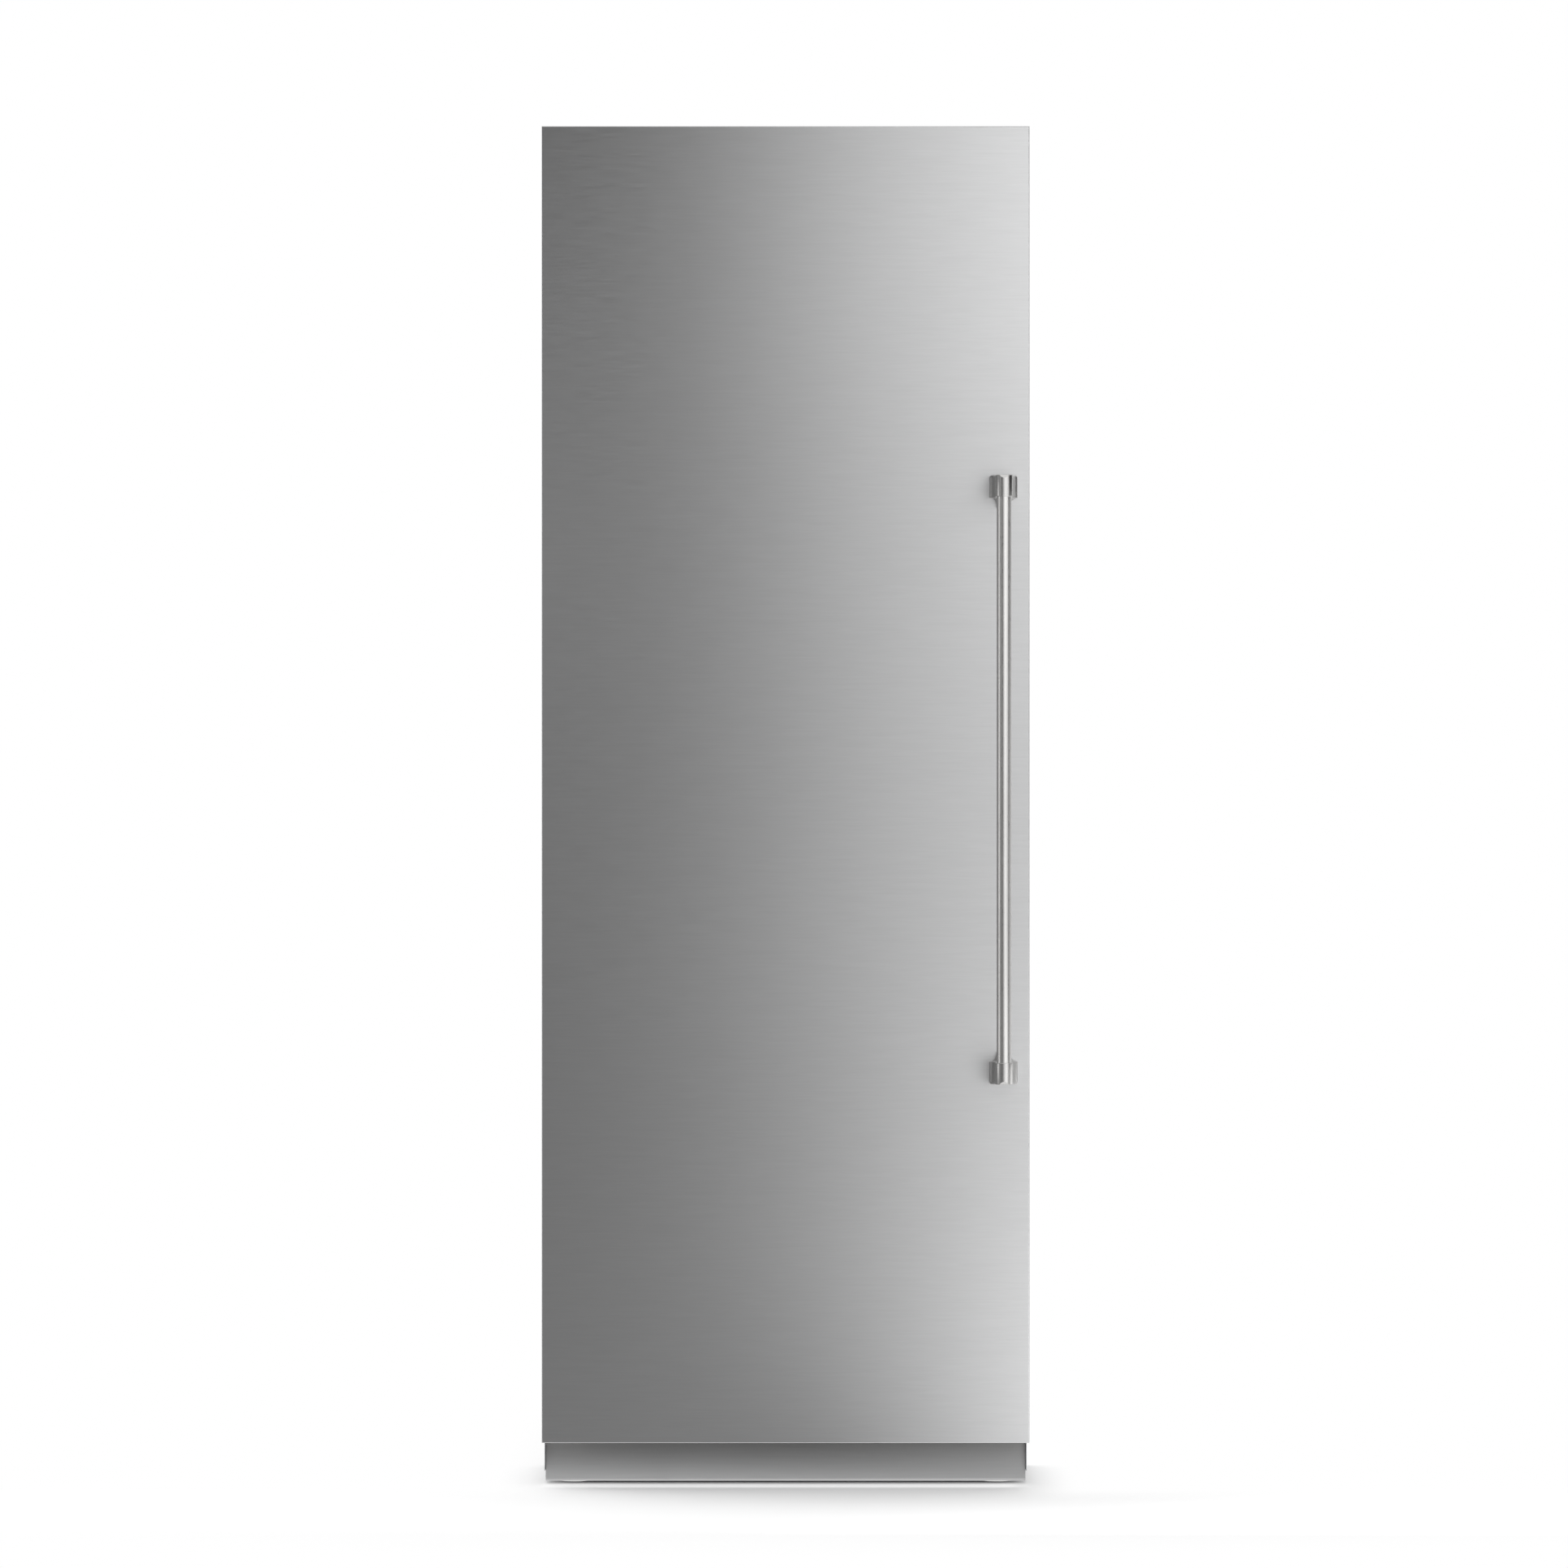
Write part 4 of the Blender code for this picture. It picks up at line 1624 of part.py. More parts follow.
def crisper_glass():
    half = HALF_CAVITY - FIT
    box = (-half, half, CASE_FRONT + CRISPER_FRAME_SETBACK, COVER_FRONT - CRISPER_FRAME_REAR_CLEARANCE)
    seat = CAVITY_BOTTOM + CRISPER_GLASS_RISE + CRISPER_FRAME_HEIGHT - GLASS_THICKNESS
    add_glass("crisper_glass", grown(box, -CRISPER_REBATE - FIT), seat)


# Ceiling pieces
def control_panel():
    """A housing under the ceiling, with a sloping face towards the door."""
    front = CASE_FRONT + CONTROL_SETBACK
    top = CAVITY_TOP - FIT
    bottom = top - CONTROL_HEIGHT
    outline = [(front, top), (front, top - EDGE_ROUND), (front + CONTROL_FACE_RUN, bottom),
               (front + CONTROL_DEPTH - EDGE_ROUND, bottom), (front + CONTROL_DEPTH, bottom + EDGE_ROUND),
               (front + CONTROL_DEPTH, top)]
    bm = bmesh.new()
    add_prism(bm, side_plane, outline, -CONTROL_WIDTH / 2, CONTROL_WIDTH / 2)
    piece("control_panel", bm, "black_plastic")


def ceiling_lamp():
    front = CASE_FRONT + LAMP_SETBACK
    top = CAVITY_TOP - FIT
    box = (-LAMP_WIDTH / 2, LAMP_WIDTH / 2, front, front + LAMP_DEPTH)
    bottom = top - LAMP_THICKNESS
    outline = rounded(box, DRAWER_CORNER)
    bm = bmesh.new()
    add_loft(bm, top_plane, [(rounded(grown(box, -LAMP_BEVEL), DRAWER_CORNER), bottom),
                             (outline, bottom + LAMP_BEVEL), (outline, top)])
    piece("ceiling_lamp", bm, "white_plastic")


# Origins and parents
def place_origin(made, point):
    """Move an object's origin to a point and leave its shape where it is."""
    made.data.transform(Matrix.Translation(-point))
    made.location = point


def box_centre(made):
    points = [Vector(corner) for corner in made.bound_box]
    return (points[0] + points[6]) / 2


def joint_origins():
    """The joint axis point of each piece that moves by itself."""
    origins = {
        "dairy_lid": Vector((0, LID_AXIS_Y, LID_AXIS_Z)),
        "evaporator_fan": Vector((0, evaporator_motor_start(), EVAPORATOR_FAN_Z)),
        "condenser_fan": Vector((FAN_START_X, CONDENSER_FAN_Y, CONDENSER_FAN_Z)),
    }
    for side, word in ((-1, "left"), (1, "right")):
        origins["levelling_leg_" + word] = Vector((side * LEG_X, LEG_Y, 0))
        origins["rear_roller_" + word] = Vector((side * ROLLER_X, ROLLER_Y, ROLLER_RADIUS))
    return origins


def set_origins():
    bpy.context.view_layer.update()
    origins = joint_origins()
    for made in [item for item in bpy.context.scene.objects if item.type in {"MESH", "CURVE"}]:
        place_origin(made, origins.get(made.name, box_centre(made)))


def hang_door():
    """Parent every piece of the leaf to an empty on the hinge axis."""
    axis = bpy.data.objects.new("door_axis", None)
    axis.location = (PIVOT_X, PIVOT_Y, DOOR_BOTTOM)
    bpy.context.scene.collection.objects.link(axis)
    names = ["door_panel", "panel_board", "door_shell", "door_foam", "door_liner", "door_gasket",
             "hinge_bushing_upper", "hinge_bushing_lower", "handle_bar", "handle_mount_upper",
             "handle_mount_lower", "dairy_box", "dairy_lid"]
    names += ["door_bin_" + place for place in BIN_LEVELS]
    for name in names:
        made = bpy.data.objects[name]
        made.parent = axis
        made.location = made.location - axis.location


def build_door():
    door_panel()
    panel_board()
    door_shell()
    door_foam()
    door_liner()
    door_gasket()
    hinge_bushing("hinge_bushing_upper", DOOR_TOP, -1)
    hinge_bushing("hinge_bushing_lower", DOOR_BOTTOM, 1)
    handle_bar()
    handle_mount("handle_mount_upper", HANDLE_TOP, -1)
    handle_mount("handle_mount_lower", HANDLE_BOTTOM, 1)
    for place, level in BIN_LEVELS.items():
        door_container("door_bin_" + place, level, BIN_HEIGHT, BIN_DEPTH, "clear_plastic")
    dairy_box()
    dairy_lid()


def build_cabinet():
    outer_case()
    rear_panel()
    cabinet_foam()
    inner_liner()
    front_frame()
    hinge_plate("hinge_plate_upper", UPPER_PLATE_BOTTOM, UPPER_PLATE_THICKNESS,
                CASE_FRONT + UPPER_PLATE_LENGTH, DOOR_TOP - PIN_ENGAGEMENT)
    hinge_plate("hinge_plate_lower", LOWER_PLATE_BOTTOM, LOWER_PLATE_THICKNESS,
                TRAY_FRONT + SEAT_DEPTH, DOOR_BOTTOM + PIN_ENGAGEMENT)


def build_base():
    base_frame()
    kickplate()
    machine_grille()
    rear_access_cover()
    power_inlet()
    for side, word in ((-1, "left"), (1, "right")):
        levelling_leg("levelling_leg_" + word, side)
        rear_roller("rear_roller_" + word, side)


def build_machine():
    compressor()
    condenser()
    condenser_fan()
    condenser_fan_motor()
    condenser_shroud()
    discharge_line()
    filter_drier()
    drain_pan()
    control_box()


def build_interior():
    evaporator_cover()
    evaporator_coil()
    evaporator_fan()
    evaporator_fan_motor()
    for side, word in ((-1, "left"), (1, "right")):
        shelf_ladder("shelf_ladder_" + word, side)
        crisper("crisper_" + word, side)
    for place, share in zip(SHELF_PLACES, SHELF_SLOT_SHARES):
        shelf_frame(place, shelf_slot(share))
        shelf_glass(place, shelf_slot(share))
    deli_drawer()
    crisper_frame()
    crisper_glass()
    control_panel()
    ceiling_lamp()


def main():
    for old in list(bpy.data.objects):
        bpy.data.objects.remove(old)
    build_door()
    build_cabinet()
    build_base()
    build_machine()
    build_interior()
    set_origins()
    hang_door()


main()
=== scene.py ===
"""Column refrigerator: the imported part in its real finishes, on a white floor and lit to match its photograph.

Units are metres. +Z is up and the door faces -Y, as in the part's own frame. Each piece made here stands
for a node of the part, or is a small fitting on one, and rides on that node's body.
"""

import json
import math

import bmesh
import bpy
from mathutils import Matrix, Vector


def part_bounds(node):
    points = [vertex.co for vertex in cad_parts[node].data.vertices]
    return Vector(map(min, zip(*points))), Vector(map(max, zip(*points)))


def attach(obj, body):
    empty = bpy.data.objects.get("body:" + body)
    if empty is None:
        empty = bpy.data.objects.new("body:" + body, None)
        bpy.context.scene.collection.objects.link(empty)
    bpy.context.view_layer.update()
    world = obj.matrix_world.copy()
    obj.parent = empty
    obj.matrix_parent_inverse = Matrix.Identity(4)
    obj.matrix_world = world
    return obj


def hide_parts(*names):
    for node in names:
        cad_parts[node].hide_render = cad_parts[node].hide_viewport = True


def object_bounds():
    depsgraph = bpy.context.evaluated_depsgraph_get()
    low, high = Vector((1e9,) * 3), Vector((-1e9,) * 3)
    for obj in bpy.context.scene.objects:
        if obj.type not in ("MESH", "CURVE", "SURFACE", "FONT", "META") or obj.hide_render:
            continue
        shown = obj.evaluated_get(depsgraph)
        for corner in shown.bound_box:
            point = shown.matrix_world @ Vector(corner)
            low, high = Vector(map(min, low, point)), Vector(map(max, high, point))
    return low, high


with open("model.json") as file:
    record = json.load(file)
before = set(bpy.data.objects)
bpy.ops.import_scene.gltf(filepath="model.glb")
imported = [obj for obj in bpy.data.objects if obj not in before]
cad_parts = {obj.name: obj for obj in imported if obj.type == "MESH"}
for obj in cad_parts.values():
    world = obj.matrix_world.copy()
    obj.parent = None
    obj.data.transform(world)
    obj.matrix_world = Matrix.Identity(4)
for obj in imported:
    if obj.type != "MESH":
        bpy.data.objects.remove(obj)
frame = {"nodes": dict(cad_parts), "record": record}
part_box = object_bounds()
nodes_of_part = frame["nodes"]

BODY_OF = {node: body for body, members in frame["record"]["behaviour"]["bodies"].items() for node in members}

# Photograph: the size of a pixel at the door's face, and where the camera stands
PHOTO_PIXELS = 1932
PIXEL = 0.0012579
HANDLE_DEPTH = 0.0635
CAMERA_DISTANCE = 20.0
CAMERA_ACROSS = -0.0025
CAMERA_HEIGHT = 1.0884
FILM = 36.0
VIEW_END = 200

# Depths of the finishes' relief
SHEET_WAVE = 0.00012
BRUSHED_SCRATCH = 0.0000016
SATIN_HAIR = 0.000003
ZINC_CLOUD = 0.0004
CLEAR_SCUFF = 0.000004
GLASS_RIPPLE = 0.0001
RUBBER_SKIN = 0.00002
FOAM_CLOUD = 0.002
FOAM_CELL = 0.0008
BOARD_FIBRE = 0.00008
DRAWN_LINE = 0.00002
DIFFUSER_RIDGE = 0.0001

# Clear materials and the interior's lamp
STYRENE_CLEARNESS = 0.94
STYRENE_REFRACTION = 1.45
GLASS_REFRACTION = 1.5
LAMP_COLOUR = (1.0, 0.96, 0.9)
LAMP_GLOW = 2.5


# Patterns
def patterned(name, colour, roughness, metallic=0.0):
    """A material with its principled shader set, ready for patterns."""
    material = bpy.data.materials.new(name)
    material.use_nodes = True
    shader = material.node_tree.nodes["Principled BSDF"]
    shader.inputs["Base Color"].default_value = (*colour, 1)
    shader.inputs["Roughness"].default_value = roughness
    shader.inputs["Metallic"].default_value = metallic
    return material, shader


def stretched(material, scale, turn=(0, 0, 0)):
    """Object coordinates, with a scale for each axis."""
    tree = material.node_tree
    coordinates = tree.nodes.new("ShaderNodeTexCoord")
    mapping = tree.nodes.new("ShaderNodeMapping")
    mapping.inputs["Scale"].default_value = scale
    mapping.inputs["Rotation"].default_value = turn
    tree.links.new(coordinates.outputs["Object"], mapping.inputs["Vector"])
    return mapping.outputs["Vector"]


def noise(material, scale, detail=3.0, distortion=0.0, turn=(0, 0, 0)):
    """Noise of that many spots for each metre along x, y and z."""
    tree = material.node_tree
    texture = tree.nodes.new("ShaderNodeTexNoise")
    texture.inputs["Scale"].default_value = 1.0
    texture.inputs["Detail"].default_value = detail
    texture.inputs["Distortion"].default_value = distortion
    tree.links.new(stretched(material, scale, turn), texture.inputs["Vector"])
    return texture.outputs["Fac"]


def between(material, factor, low, high, start=0.3, stop=0.7):
    """Numbers from low to high, as factor goes from start to stop."""
    tree = material.node_tree
    spread = tree.nodes.new("ShaderNodeMapRange")
    spread.inputs["From Min"].default_value = start
    spread.inputs["From Max"].default_value = stop
    spread.inputs["To Min"].default_value = low
    spread.inputs["To Max"].default_value = high
    tree.links.new(factor, spread.inputs["Value"])
    return spread.outputs["Result"]


def blended(material, factor, first, second, start=0.3, stop=0.7):
    """Colours from first to second, as factor goes from start to stop."""
    tree = material.node_tree
    ramp = tree.nodes.new("ShaderNodeValToRGB")
    ramp.color_ramp.elements[0].position = start
    ramp.color_ramp.elements[0].color = (*first, 1)
    ramp.color_ramp.elements[1].position = stop
    ramp.color_ramp.elements[1].color = (*second, 1)
    tree.links.new(factor, ramp.inputs["Fac"])
    return ramp.outputs["Color"]


def raised(material, heights, below=None):
    """A bump from heights and their depths in metres, one over the other."""
    tree = material.node_tree
    for height, depth in heights:
        bump = tree.nodes.new("ShaderNodeBump")
        bump.inputs["Strength"].default_value = 1.0
        bump.inputs["Distance"].default_value = depth
        tree.links.new(height, bump.inputs["Height"])
        if below is not None:
            tree.links.new(below, bump.inputs["Normal"])
        below = bump.outputs["Normal"]
    return below


def shades(colour, share):
    """Two colours, a share darker and a share lighter than the one given."""
    darker = [channel * (1 - share) for channel in colour]
    lighter = [min(1, channel * (1 + share)) for channel in colour]
    return darker, lighter


# Finishes
def brushed_steel(name, colour=(0.60, 0.602, 0.605), roughness=0.42, anisotropy=0.3, rotation=0.0):
    """Stainless steel with fine level scratches, faint streaks and a slightly wavy sheet."""
    material, shader = patterned(name, colour, roughness, 1.0)
    links = material.node_tree.links
    scratches = noise(material, (24, 24, 800), detail=5.0, distortion=0.15)
    streaks = noise(material, (16, 16, 330), detail=4.0, distortion=0.6)
    waves = noise(material, (2.2, 2.2, 4.0), detail=1.0)
    relief = raised(material, [(waves, SHEET_WAVE), (scratches, BRUSHED_SCRATCH)])
    links.new(blended(material, streaks, *shades(colour, 0.02)), shader.inputs["Base Color"])
    links.new(between(material, scratches, roughness - 0.03, roughness + 0.03), shader.inputs["Roughness"])
    links.new(relief, shader.inputs["Normal"])
    shader.inputs["Anisotropic"].default_value = anisotropy
    shader.inputs["Anisotropic Rotation"].default_value = rotation
    tangent = material.node_tree.nodes.new("ShaderNodeTangent")
    tangent.direction_type = "RADIAL"
    tangent.axis = "Z"
    links.new(tangent.outputs["Tangent"], shader.inputs["Tangent"])
    return material


def satin_steel(name, colour=(0.62, 0.615, 0.605), roughness=0.2):
    """Stainless steel polished to a satin sheen, with hair lines too fine to follow."""
    material, shader = patterned(name, colour, roughness, 1.0)
    links = material.node_tree.links
    haze = noise(material, (900, 900, 60), detail=4.0)
    cloud = noise(material, (14, 14, 9), detail=2.0)
    links.new(blended(material, cloud, *shades(colour, 0.03)), shader.inputs["Base Color"])
    links.new(between(material, haze, roughness - 0.04, roughness + 0.05), shader.inputs["Roughness"])
    links.new(raised(material, [(haze, SATIN_HAIR)]), shader.inputs["Normal"])
    return material


def zinc_plate(name, colour=(0.53, 0.54, 0.55), roughness=0.42):
    """Galvanised sheet with faint spangle."""
    material, shader = patterned(name, colour, roughness, 1.0)
    tree = material.node_tree
    spangle = tree.nodes.new("ShaderNodeTexVoronoi")
    spangle.inputs["Scale"].default_value = 1.0
    tree.links.new(stretched(material, (85, 85, 85)), spangle.inputs["Vector"])
    cloud = noise(material, (6, 6, 6), detail=4.0)
    tree.links.new(between(material, spangle.outputs["Color"], roughness - 0.09, roughness + 0.09, 0.0, 1.0),
                   shader.inputs["Roughness"])
    tree.links.new(blended(material, cloud, *shades(colour, 0.06)), shader.inputs["Base Color"])
    tree.links.new(raised(material, [(cloud, ZINC_CLOUD)]), shader.inputs["Normal"])
    return material


def satin_paint(name, colour, roughness=0.42, peel=0.00002):
    """Baked paint with a faint orange peel."""
    material, shader = patterned(name, colour, roughness)
    links = material.node_tree.links
    skin = noise(material, (420, 420, 420), detail=2.0)
    cloud = noise(material, (5, 5, 5), detail=3.0)
    links.new(blended(material, cloud, *shades(colour, 0.03)), shader.inputs["Base Color"])
    links.new(between(material, cloud, roughness - 0.04, roughness + 0.05), shader.inputs["Roughness"])
    links.new(raised(material, [(skin, peel)]), shader.inputs["Normal"])
    return material


def moulded_plastic(name, colour, roughness, grain=0.000012):
    """Moulded plastic with a fine leathery grain and faint flow marks."""
    material, shader = patterned(name, colour, roughness)
    links = material.node_tree.links
    skin = noise(material, (900, 900, 900), detail=2.0)
    flow = noise(material, (9, 9, 4), detail=3.0, distortion=0.8)
    links.new(blended(material, flow, *shades(colour, 0.02)), shader.inputs["Base Color"])
    links.new(between(material, skin, roughness - 0.04, roughness + 0.05), shader.inputs["Roughness"])
    links.new(raised(material, [(skin, grain)]), shader.inputs["Normal"])
    return material


def clear_plastic(name, colour=(0.975, 0.985, 0.99), roughness=0.05):
    """Clear styrene with faint haze and fine scuffs."""
    material, shader = patterned(name, colour, roughness)
    links = material.node_tree.links
    haze = noise(material, (11, 11, 7), detail=5.0, distortion=0.4)
    scuffs = noise(material, (60, 500, 500), detail=3.0)
    links.new(blended(material, haze, *shades(colour, 0.02)), shader.inputs["Base Color"])
    links.new(between(material, haze, roughness - 0.03, roughness + 0.08), shader.inputs["Roughness"])
    links.new(raised(material, [(scuffs, CLEAR_SCUFF)]), shader.inputs["Normal"])
    shader.inputs["Transmission Weight"].default_value = STYRENE_CLEARNESS
    shader.inputs["IOR"].default_value = STYRENE_REFRACTION
    return material


def toughened_glass(name, colour=(0.90, 0.975, 0.95), roughness=0.02):
    """Shelf glass with the faint ripple of its rollers and a green cast."""
    material, shader = patterned(name, colour, roughness)
    links = material.node_tree.links
    ripple = noise(material, (3, 26, 3), detail=1.0)
    smears = noise(material, (18, 9, 18), detail=5.0)
    links.new(blended(material, smears, *shades(colour, 0.012)), shader.inputs["Base Color"])
    links.new(between(material, smears, roughness - 0.01, roughness + 0.04), shader.inputs["Roughness"])
    links.new(raised(material, [(ripple, GLASS_RIPPLE)]), shader.inputs["Normal"])
    shader.inputs["Transmission Weight"].default_value = 1.0
    shader.inputs["IOR"].default_value = GLASS_REFRACTION
    return material


def seal_rubber(name, colour=(0.17, 0.17, 0.175), roughness=0.62):
    """Black-grey door seal, bloomed in soft patches."""
    material, shader = patterned(name, colour, roughness)
    links = material.node_tree.links
    bloom = noise(material, (35, 35, 35), detail=5.0)
    skin = noise(material, (1500, 1500, 1500), detail=2.0)
    links.new(blended(material, bloom, *shades(colour, 0.12)), shader.inputs["Base Color"])
    links.new(between(material, bloom, roughness - 0.08, roughness + 0.1), shader.inputs["Roughness"])
    links.new(raised(material, [(skin, RUBBER_SKIN)]), shader.inputs["Normal"])
    return material


def blown_foam(name, colour=(0.72, 0.62, 0.36), roughness=0.9):
    """Blown foam: small closed cells over a lumpy skin."""
    material, shader = patterned(name, colour, roughness)
    tree = material.node_tree
    cells = tree.nodes.new("ShaderNodeTexVoronoi")
    cells.inputs["Scale"].default_value = 1.0
    tree.links.new(stretched(material, (420, 420, 420)), cells.inputs["Vector"])
    cloud = noise(material, (22, 22, 22), detail=5.0)
    tree.links.new(blended(material, cloud, *shades(colour, 0.14)), shader.inputs["Base Color"])
    relief = raised(material, [(cloud, FOAM_CLOUD), (cells.outputs["Distance"], FOAM_CELL)])
    tree.links.new(relief, shader.inputs["Normal"])
    return material


def fibre_board(name, colour=(0.42, 0.30, 0.18), roughness=0.85):
    """Pressed fibre board with upright fibres."""
    material, shader = patterned(name, colour, roughness)
    links = material.node_tree.links
    fibres = noise(material, (700, 700, 120), detail=5.0, distortion=1.2)
    cloud = noise(material, (14, 14, 14), detail=3.0)
    links.new(blended(material, fibres, *shades(colour, 0.18)), shader.inputs["Base Color"])
    links.new(between(material, cloud, roughness - 0.08, roughness + 0.08), shader.inputs["Roughness"])
    links.new(raised(material, [(fibres, BOARD_FIBRE)]), shader.inputs["Normal"])
    return material


def drawn_metal(name, colour, roughness=0.28):
    """Copper pipe or aluminium fin: drawn metal, dulled in patches by handling."""
    material, shader = patterned(name, colour, roughness, 1.0)
    links = material.node_tree.links
    tarnish = noise(material, (38, 38, 38), detail=5.0, distortion=0.5)
    lines = noise(material, (160, 160, 160), detail=3.0)
    links.new(blended(material, tarnish, *shades(colour, 0.14)), shader.inputs["Base Color"])
    links.new(between(material, tarnish, roughness - 0.06, roughness + 0.14), shader.inputs["Roughness"])
    links.new(raised(material, [(lines, DRAWN_LINE)]), shader.inputs["Normal"])
    return material


def lamp_diffuser(name, colour=(0.86, 0.87, 0.87), roughness=0.4):
    """Opal plastic over a row of lamps, with fine ridges that spread the light."""
    material, shader = patterned(name, colour, roughness)
    tree = material.node_tree
    across = tree.nodes.new("ShaderNodeTexWave")
    across.inputs["Scale"].default_value = 1.0
    tree.links.new(stretched(material, (60, 60, 60)), across.inputs["Vector"])
    cloud = noise(material, (30, 30, 30), detail=2.0)
    tree.links.new(blended(material, cloud, *shades(colour, 0.02)), shader.inputs["Base Color"])
    tree.links.new(raised(material, [(across.outputs["Fac"], DIFFUSER_RIDGE)]), shader.inputs["Normal"])
    shader.inputs["Emission Color"].default_value = (*LAMP_COLOUR, 1)
    shader.inputs["Emission Strength"].default_value = LAMP_GLOW
    return material


panel_steel = brushed_steel("panel_brushed_steel")
# The kickplate is brushed steel like the door's, with its colour darkened as painted shade from the door's
# overhang.
kick_steel_painted_shade = brushed_steel("kickplate_steel_painted_shade", colour=(0.40, 0.401, 0.403), roughness=0.4,
                           anisotropy=0.7, rotation=0.25)
# The bar's satin steel is lighter than the mounts' same steel: painted sheen that brightens its reflections.
handle_steel_painted_sheen = satin_steel("handle_satin_steel_painted_sheen", colour=(0.72, 0.713, 0.70), roughness=0.3)
mount_steel = satin_steel("mount_satin_steel", roughness=0.29)
trim_steel = brushed_steel("shelf_trim_steel", roughness=0.3)
case_paint = satin_paint("case_grey_paint", (0.40, 0.41, 0.42))
leaf_paint = satin_paint("leaf_grey_paint", (0.34, 0.35, 0.36))
frame_paint = satin_paint("face_frame_paint", (0.46, 0.47, 0.48))
base_paint = satin_paint("base_black_paint", (0.025, 0.025, 0.027), 0.45)
machine_paint = satin_paint("machine_black_enamel", (0.018, 0.018, 0.02), 0.3, 0.00001)
rear_zinc = zinc_plate("rear_zinc_plate")
hardware_zinc = zinc_plate("hardware_zinc_plate", (0.60, 0.60, 0.59), 0.34)
liner_plastic = moulded_plastic("liner_white_plastic", (0.80, 0.81, 0.81), 0.3)
cover_plastic = moulded_plastic("cover_white_plastic", (0.78, 0.79, 0.80), 0.38)
ladder_plastic = satin_paint("ladder_white_paint", (0.72, 0.73, 0.74), 0.35)
bin_plastic = clear_plastic("bin_clear_plastic")
drawer_plastic = clear_plastic("drawer_clear_plastic", (0.965, 0.98, 0.99), 0.07)
shelf_glass = toughened_glass("shelf_toughened_glass")
seal = seal_rubber("door_seal_rubber")
foam = blown_foam("insulating_foam")
board = fibre_board("panel_fibre_board")
copper = drawn_metal("pipe_copper", (0.72, 0.38, 0.22))
aluminium = drawn_metal("fin_aluminium", (0.72, 0.73, 0.74), 0.32)
grey_plastic = moulded_plastic("housing_grey_plastic", (0.30, 0.31, 0.32), 0.45)
black_plastic = moulded_plastic("fitting_black_plastic", (0.022, 0.022, 0.024), 0.42)
console_plastic = moulded_plastic("console_black_plastic", (0.012, 0.012, 0.014), 0.2, 0.000004)
fan_plastic = moulded_plastic("fan_white_plastic", (0.62, 0.63, 0.63), 0.42)
lamp_plastic = lamp_diffuser("lamp_opal_plastic")
console_glass = satin_paint("console_black_glass", (0.006, 0.006, 0.007), 0.06, 0.000001)
print_grey = satin_paint("console_printed_grey", (0.62, 0.63, 0.64), 0.5)

# Which finish each node has
FINISH_OF = {
    "door_panel": panel_steel, "panel_board": board, "door_shell": leaf_paint, "door_foam": foam,
    "door_liner": liner_plastic, "door_gasket": seal, "hinge_bushing_upper": black_plastic,
    "hinge_bushing_lower": black_plastic, "handle_bar": handle_steel_painted_sheen, "handle_mount_upper": mount_steel,
    "handle_mount_lower": mount_steel, "door_bin_lower": bin_plastic, "door_bin_middle": bin_plastic,
    "door_bin_upper": bin_plastic, "dairy_box": bin_plastic, "dairy_lid": bin_plastic,
    "outer_case": case_paint, "rear_panel": rear_zinc, "cabinet_foam": foam, "inner_liner": liner_plastic,
    "front_frame": frame_paint, "hinge_plate_upper": hardware_zinc, "hinge_plate_lower": hardware_zinc,
    "base_frame": base_paint, "kickplate": kick_steel_painted_shade, "machine_grille": base_paint,
    "rear_access_cover": rear_zinc, "power_inlet": black_plastic, "levelling_leg_left": hardware_zinc,
    "levelling_leg_right": hardware_zinc, "rear_roller_left": black_plastic,
    "rear_roller_right": black_plastic, "compressor": machine_paint, "condenser": machine_paint,
    "condenser_fan": black_plastic, "condenser_fan_motor": hardware_zinc, "condenser_shroud": black_plastic,
    "discharge_line": copper, "filter_drier": copper, "drain_pan": black_plastic,
    "control_box": grey_plastic, "evaporator_cover": cover_plastic, "evaporator_coil": aluminium,
    "evaporator_fan": fan_plastic, "evaporator_fan_motor": hardware_zinc,
    "shelf_ladder_left": ladder_plastic, "shelf_ladder_right": ladder_plastic,
    "shelf_frame_lower": trim_steel, "shelf_frame_middle": trim_steel, "shelf_frame_upper": trim_steel,
    "shelf_glass_lower": shelf_glass, "shelf_glass_middle": shelf_glass, "shelf_glass_upper": shelf_glass,
    "deli_drawer": drawer_plastic, "crisper_left": drawer_plastic, "crisper_right": drawer_plastic,
    "crisper_frame": cover_plastic, "crisper_glass": shelf_glass, "control_panel": console_plastic,
    "ceiling_lamp": lamp_plastic,
}
for name, made in nodes_of_part.items():
    made.material_slots[0].material = FINISH_OF[name]


# Pieces
WELD = 0.00002
SPUN_WELD = 0.000005
FLATTEST_FOLD = 0.01


def finished(bm, name, node, finish, sharp=35, replaces=()):
    """Turn a bmesh into a piece that rides on a node's body, smooth up to the sharp angle in degrees.

    With sharp None, the faces and edges keep what they were given.
    """
    mesh = bpy.data.meshes.new(name)
    bm.to_mesh(mesh)
    bm.free()
    if sharp is not None:
        mesh.shade_smooth()
        mesh.set_sharp_from_angle(angle=math.radians(sharp))
    mesh.materials.append(finish)
    piece = bpy.data.objects.new(name, mesh)
    bpy.context.scene.collection.objects.link(piece)
    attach(piece, BODY_OF[node])
    if replaces:
        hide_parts(*replaces)
    return piece


def merged_copy(node):
    """A node's own shape as one joined mesh."""
    bm = bmesh.new()
    bm.from_mesh(nodes_of_part[node].data)
    bmesh.ops.remove_doubles(bm, verts=bm.verts, dist=WELD)
    return bm


def bevelled(bm, geom, width, segments, affect="EDGES", clamp=False):
    """Bevel edges or corners by a width, and give what that makes."""
    return bmesh.ops.bevel(bm, geom=geom, offset=width, offset_type="OFFSET", segments=segments, profile=0.5,
                           material=-1, affect=affect, clamp_overlap=clamp)


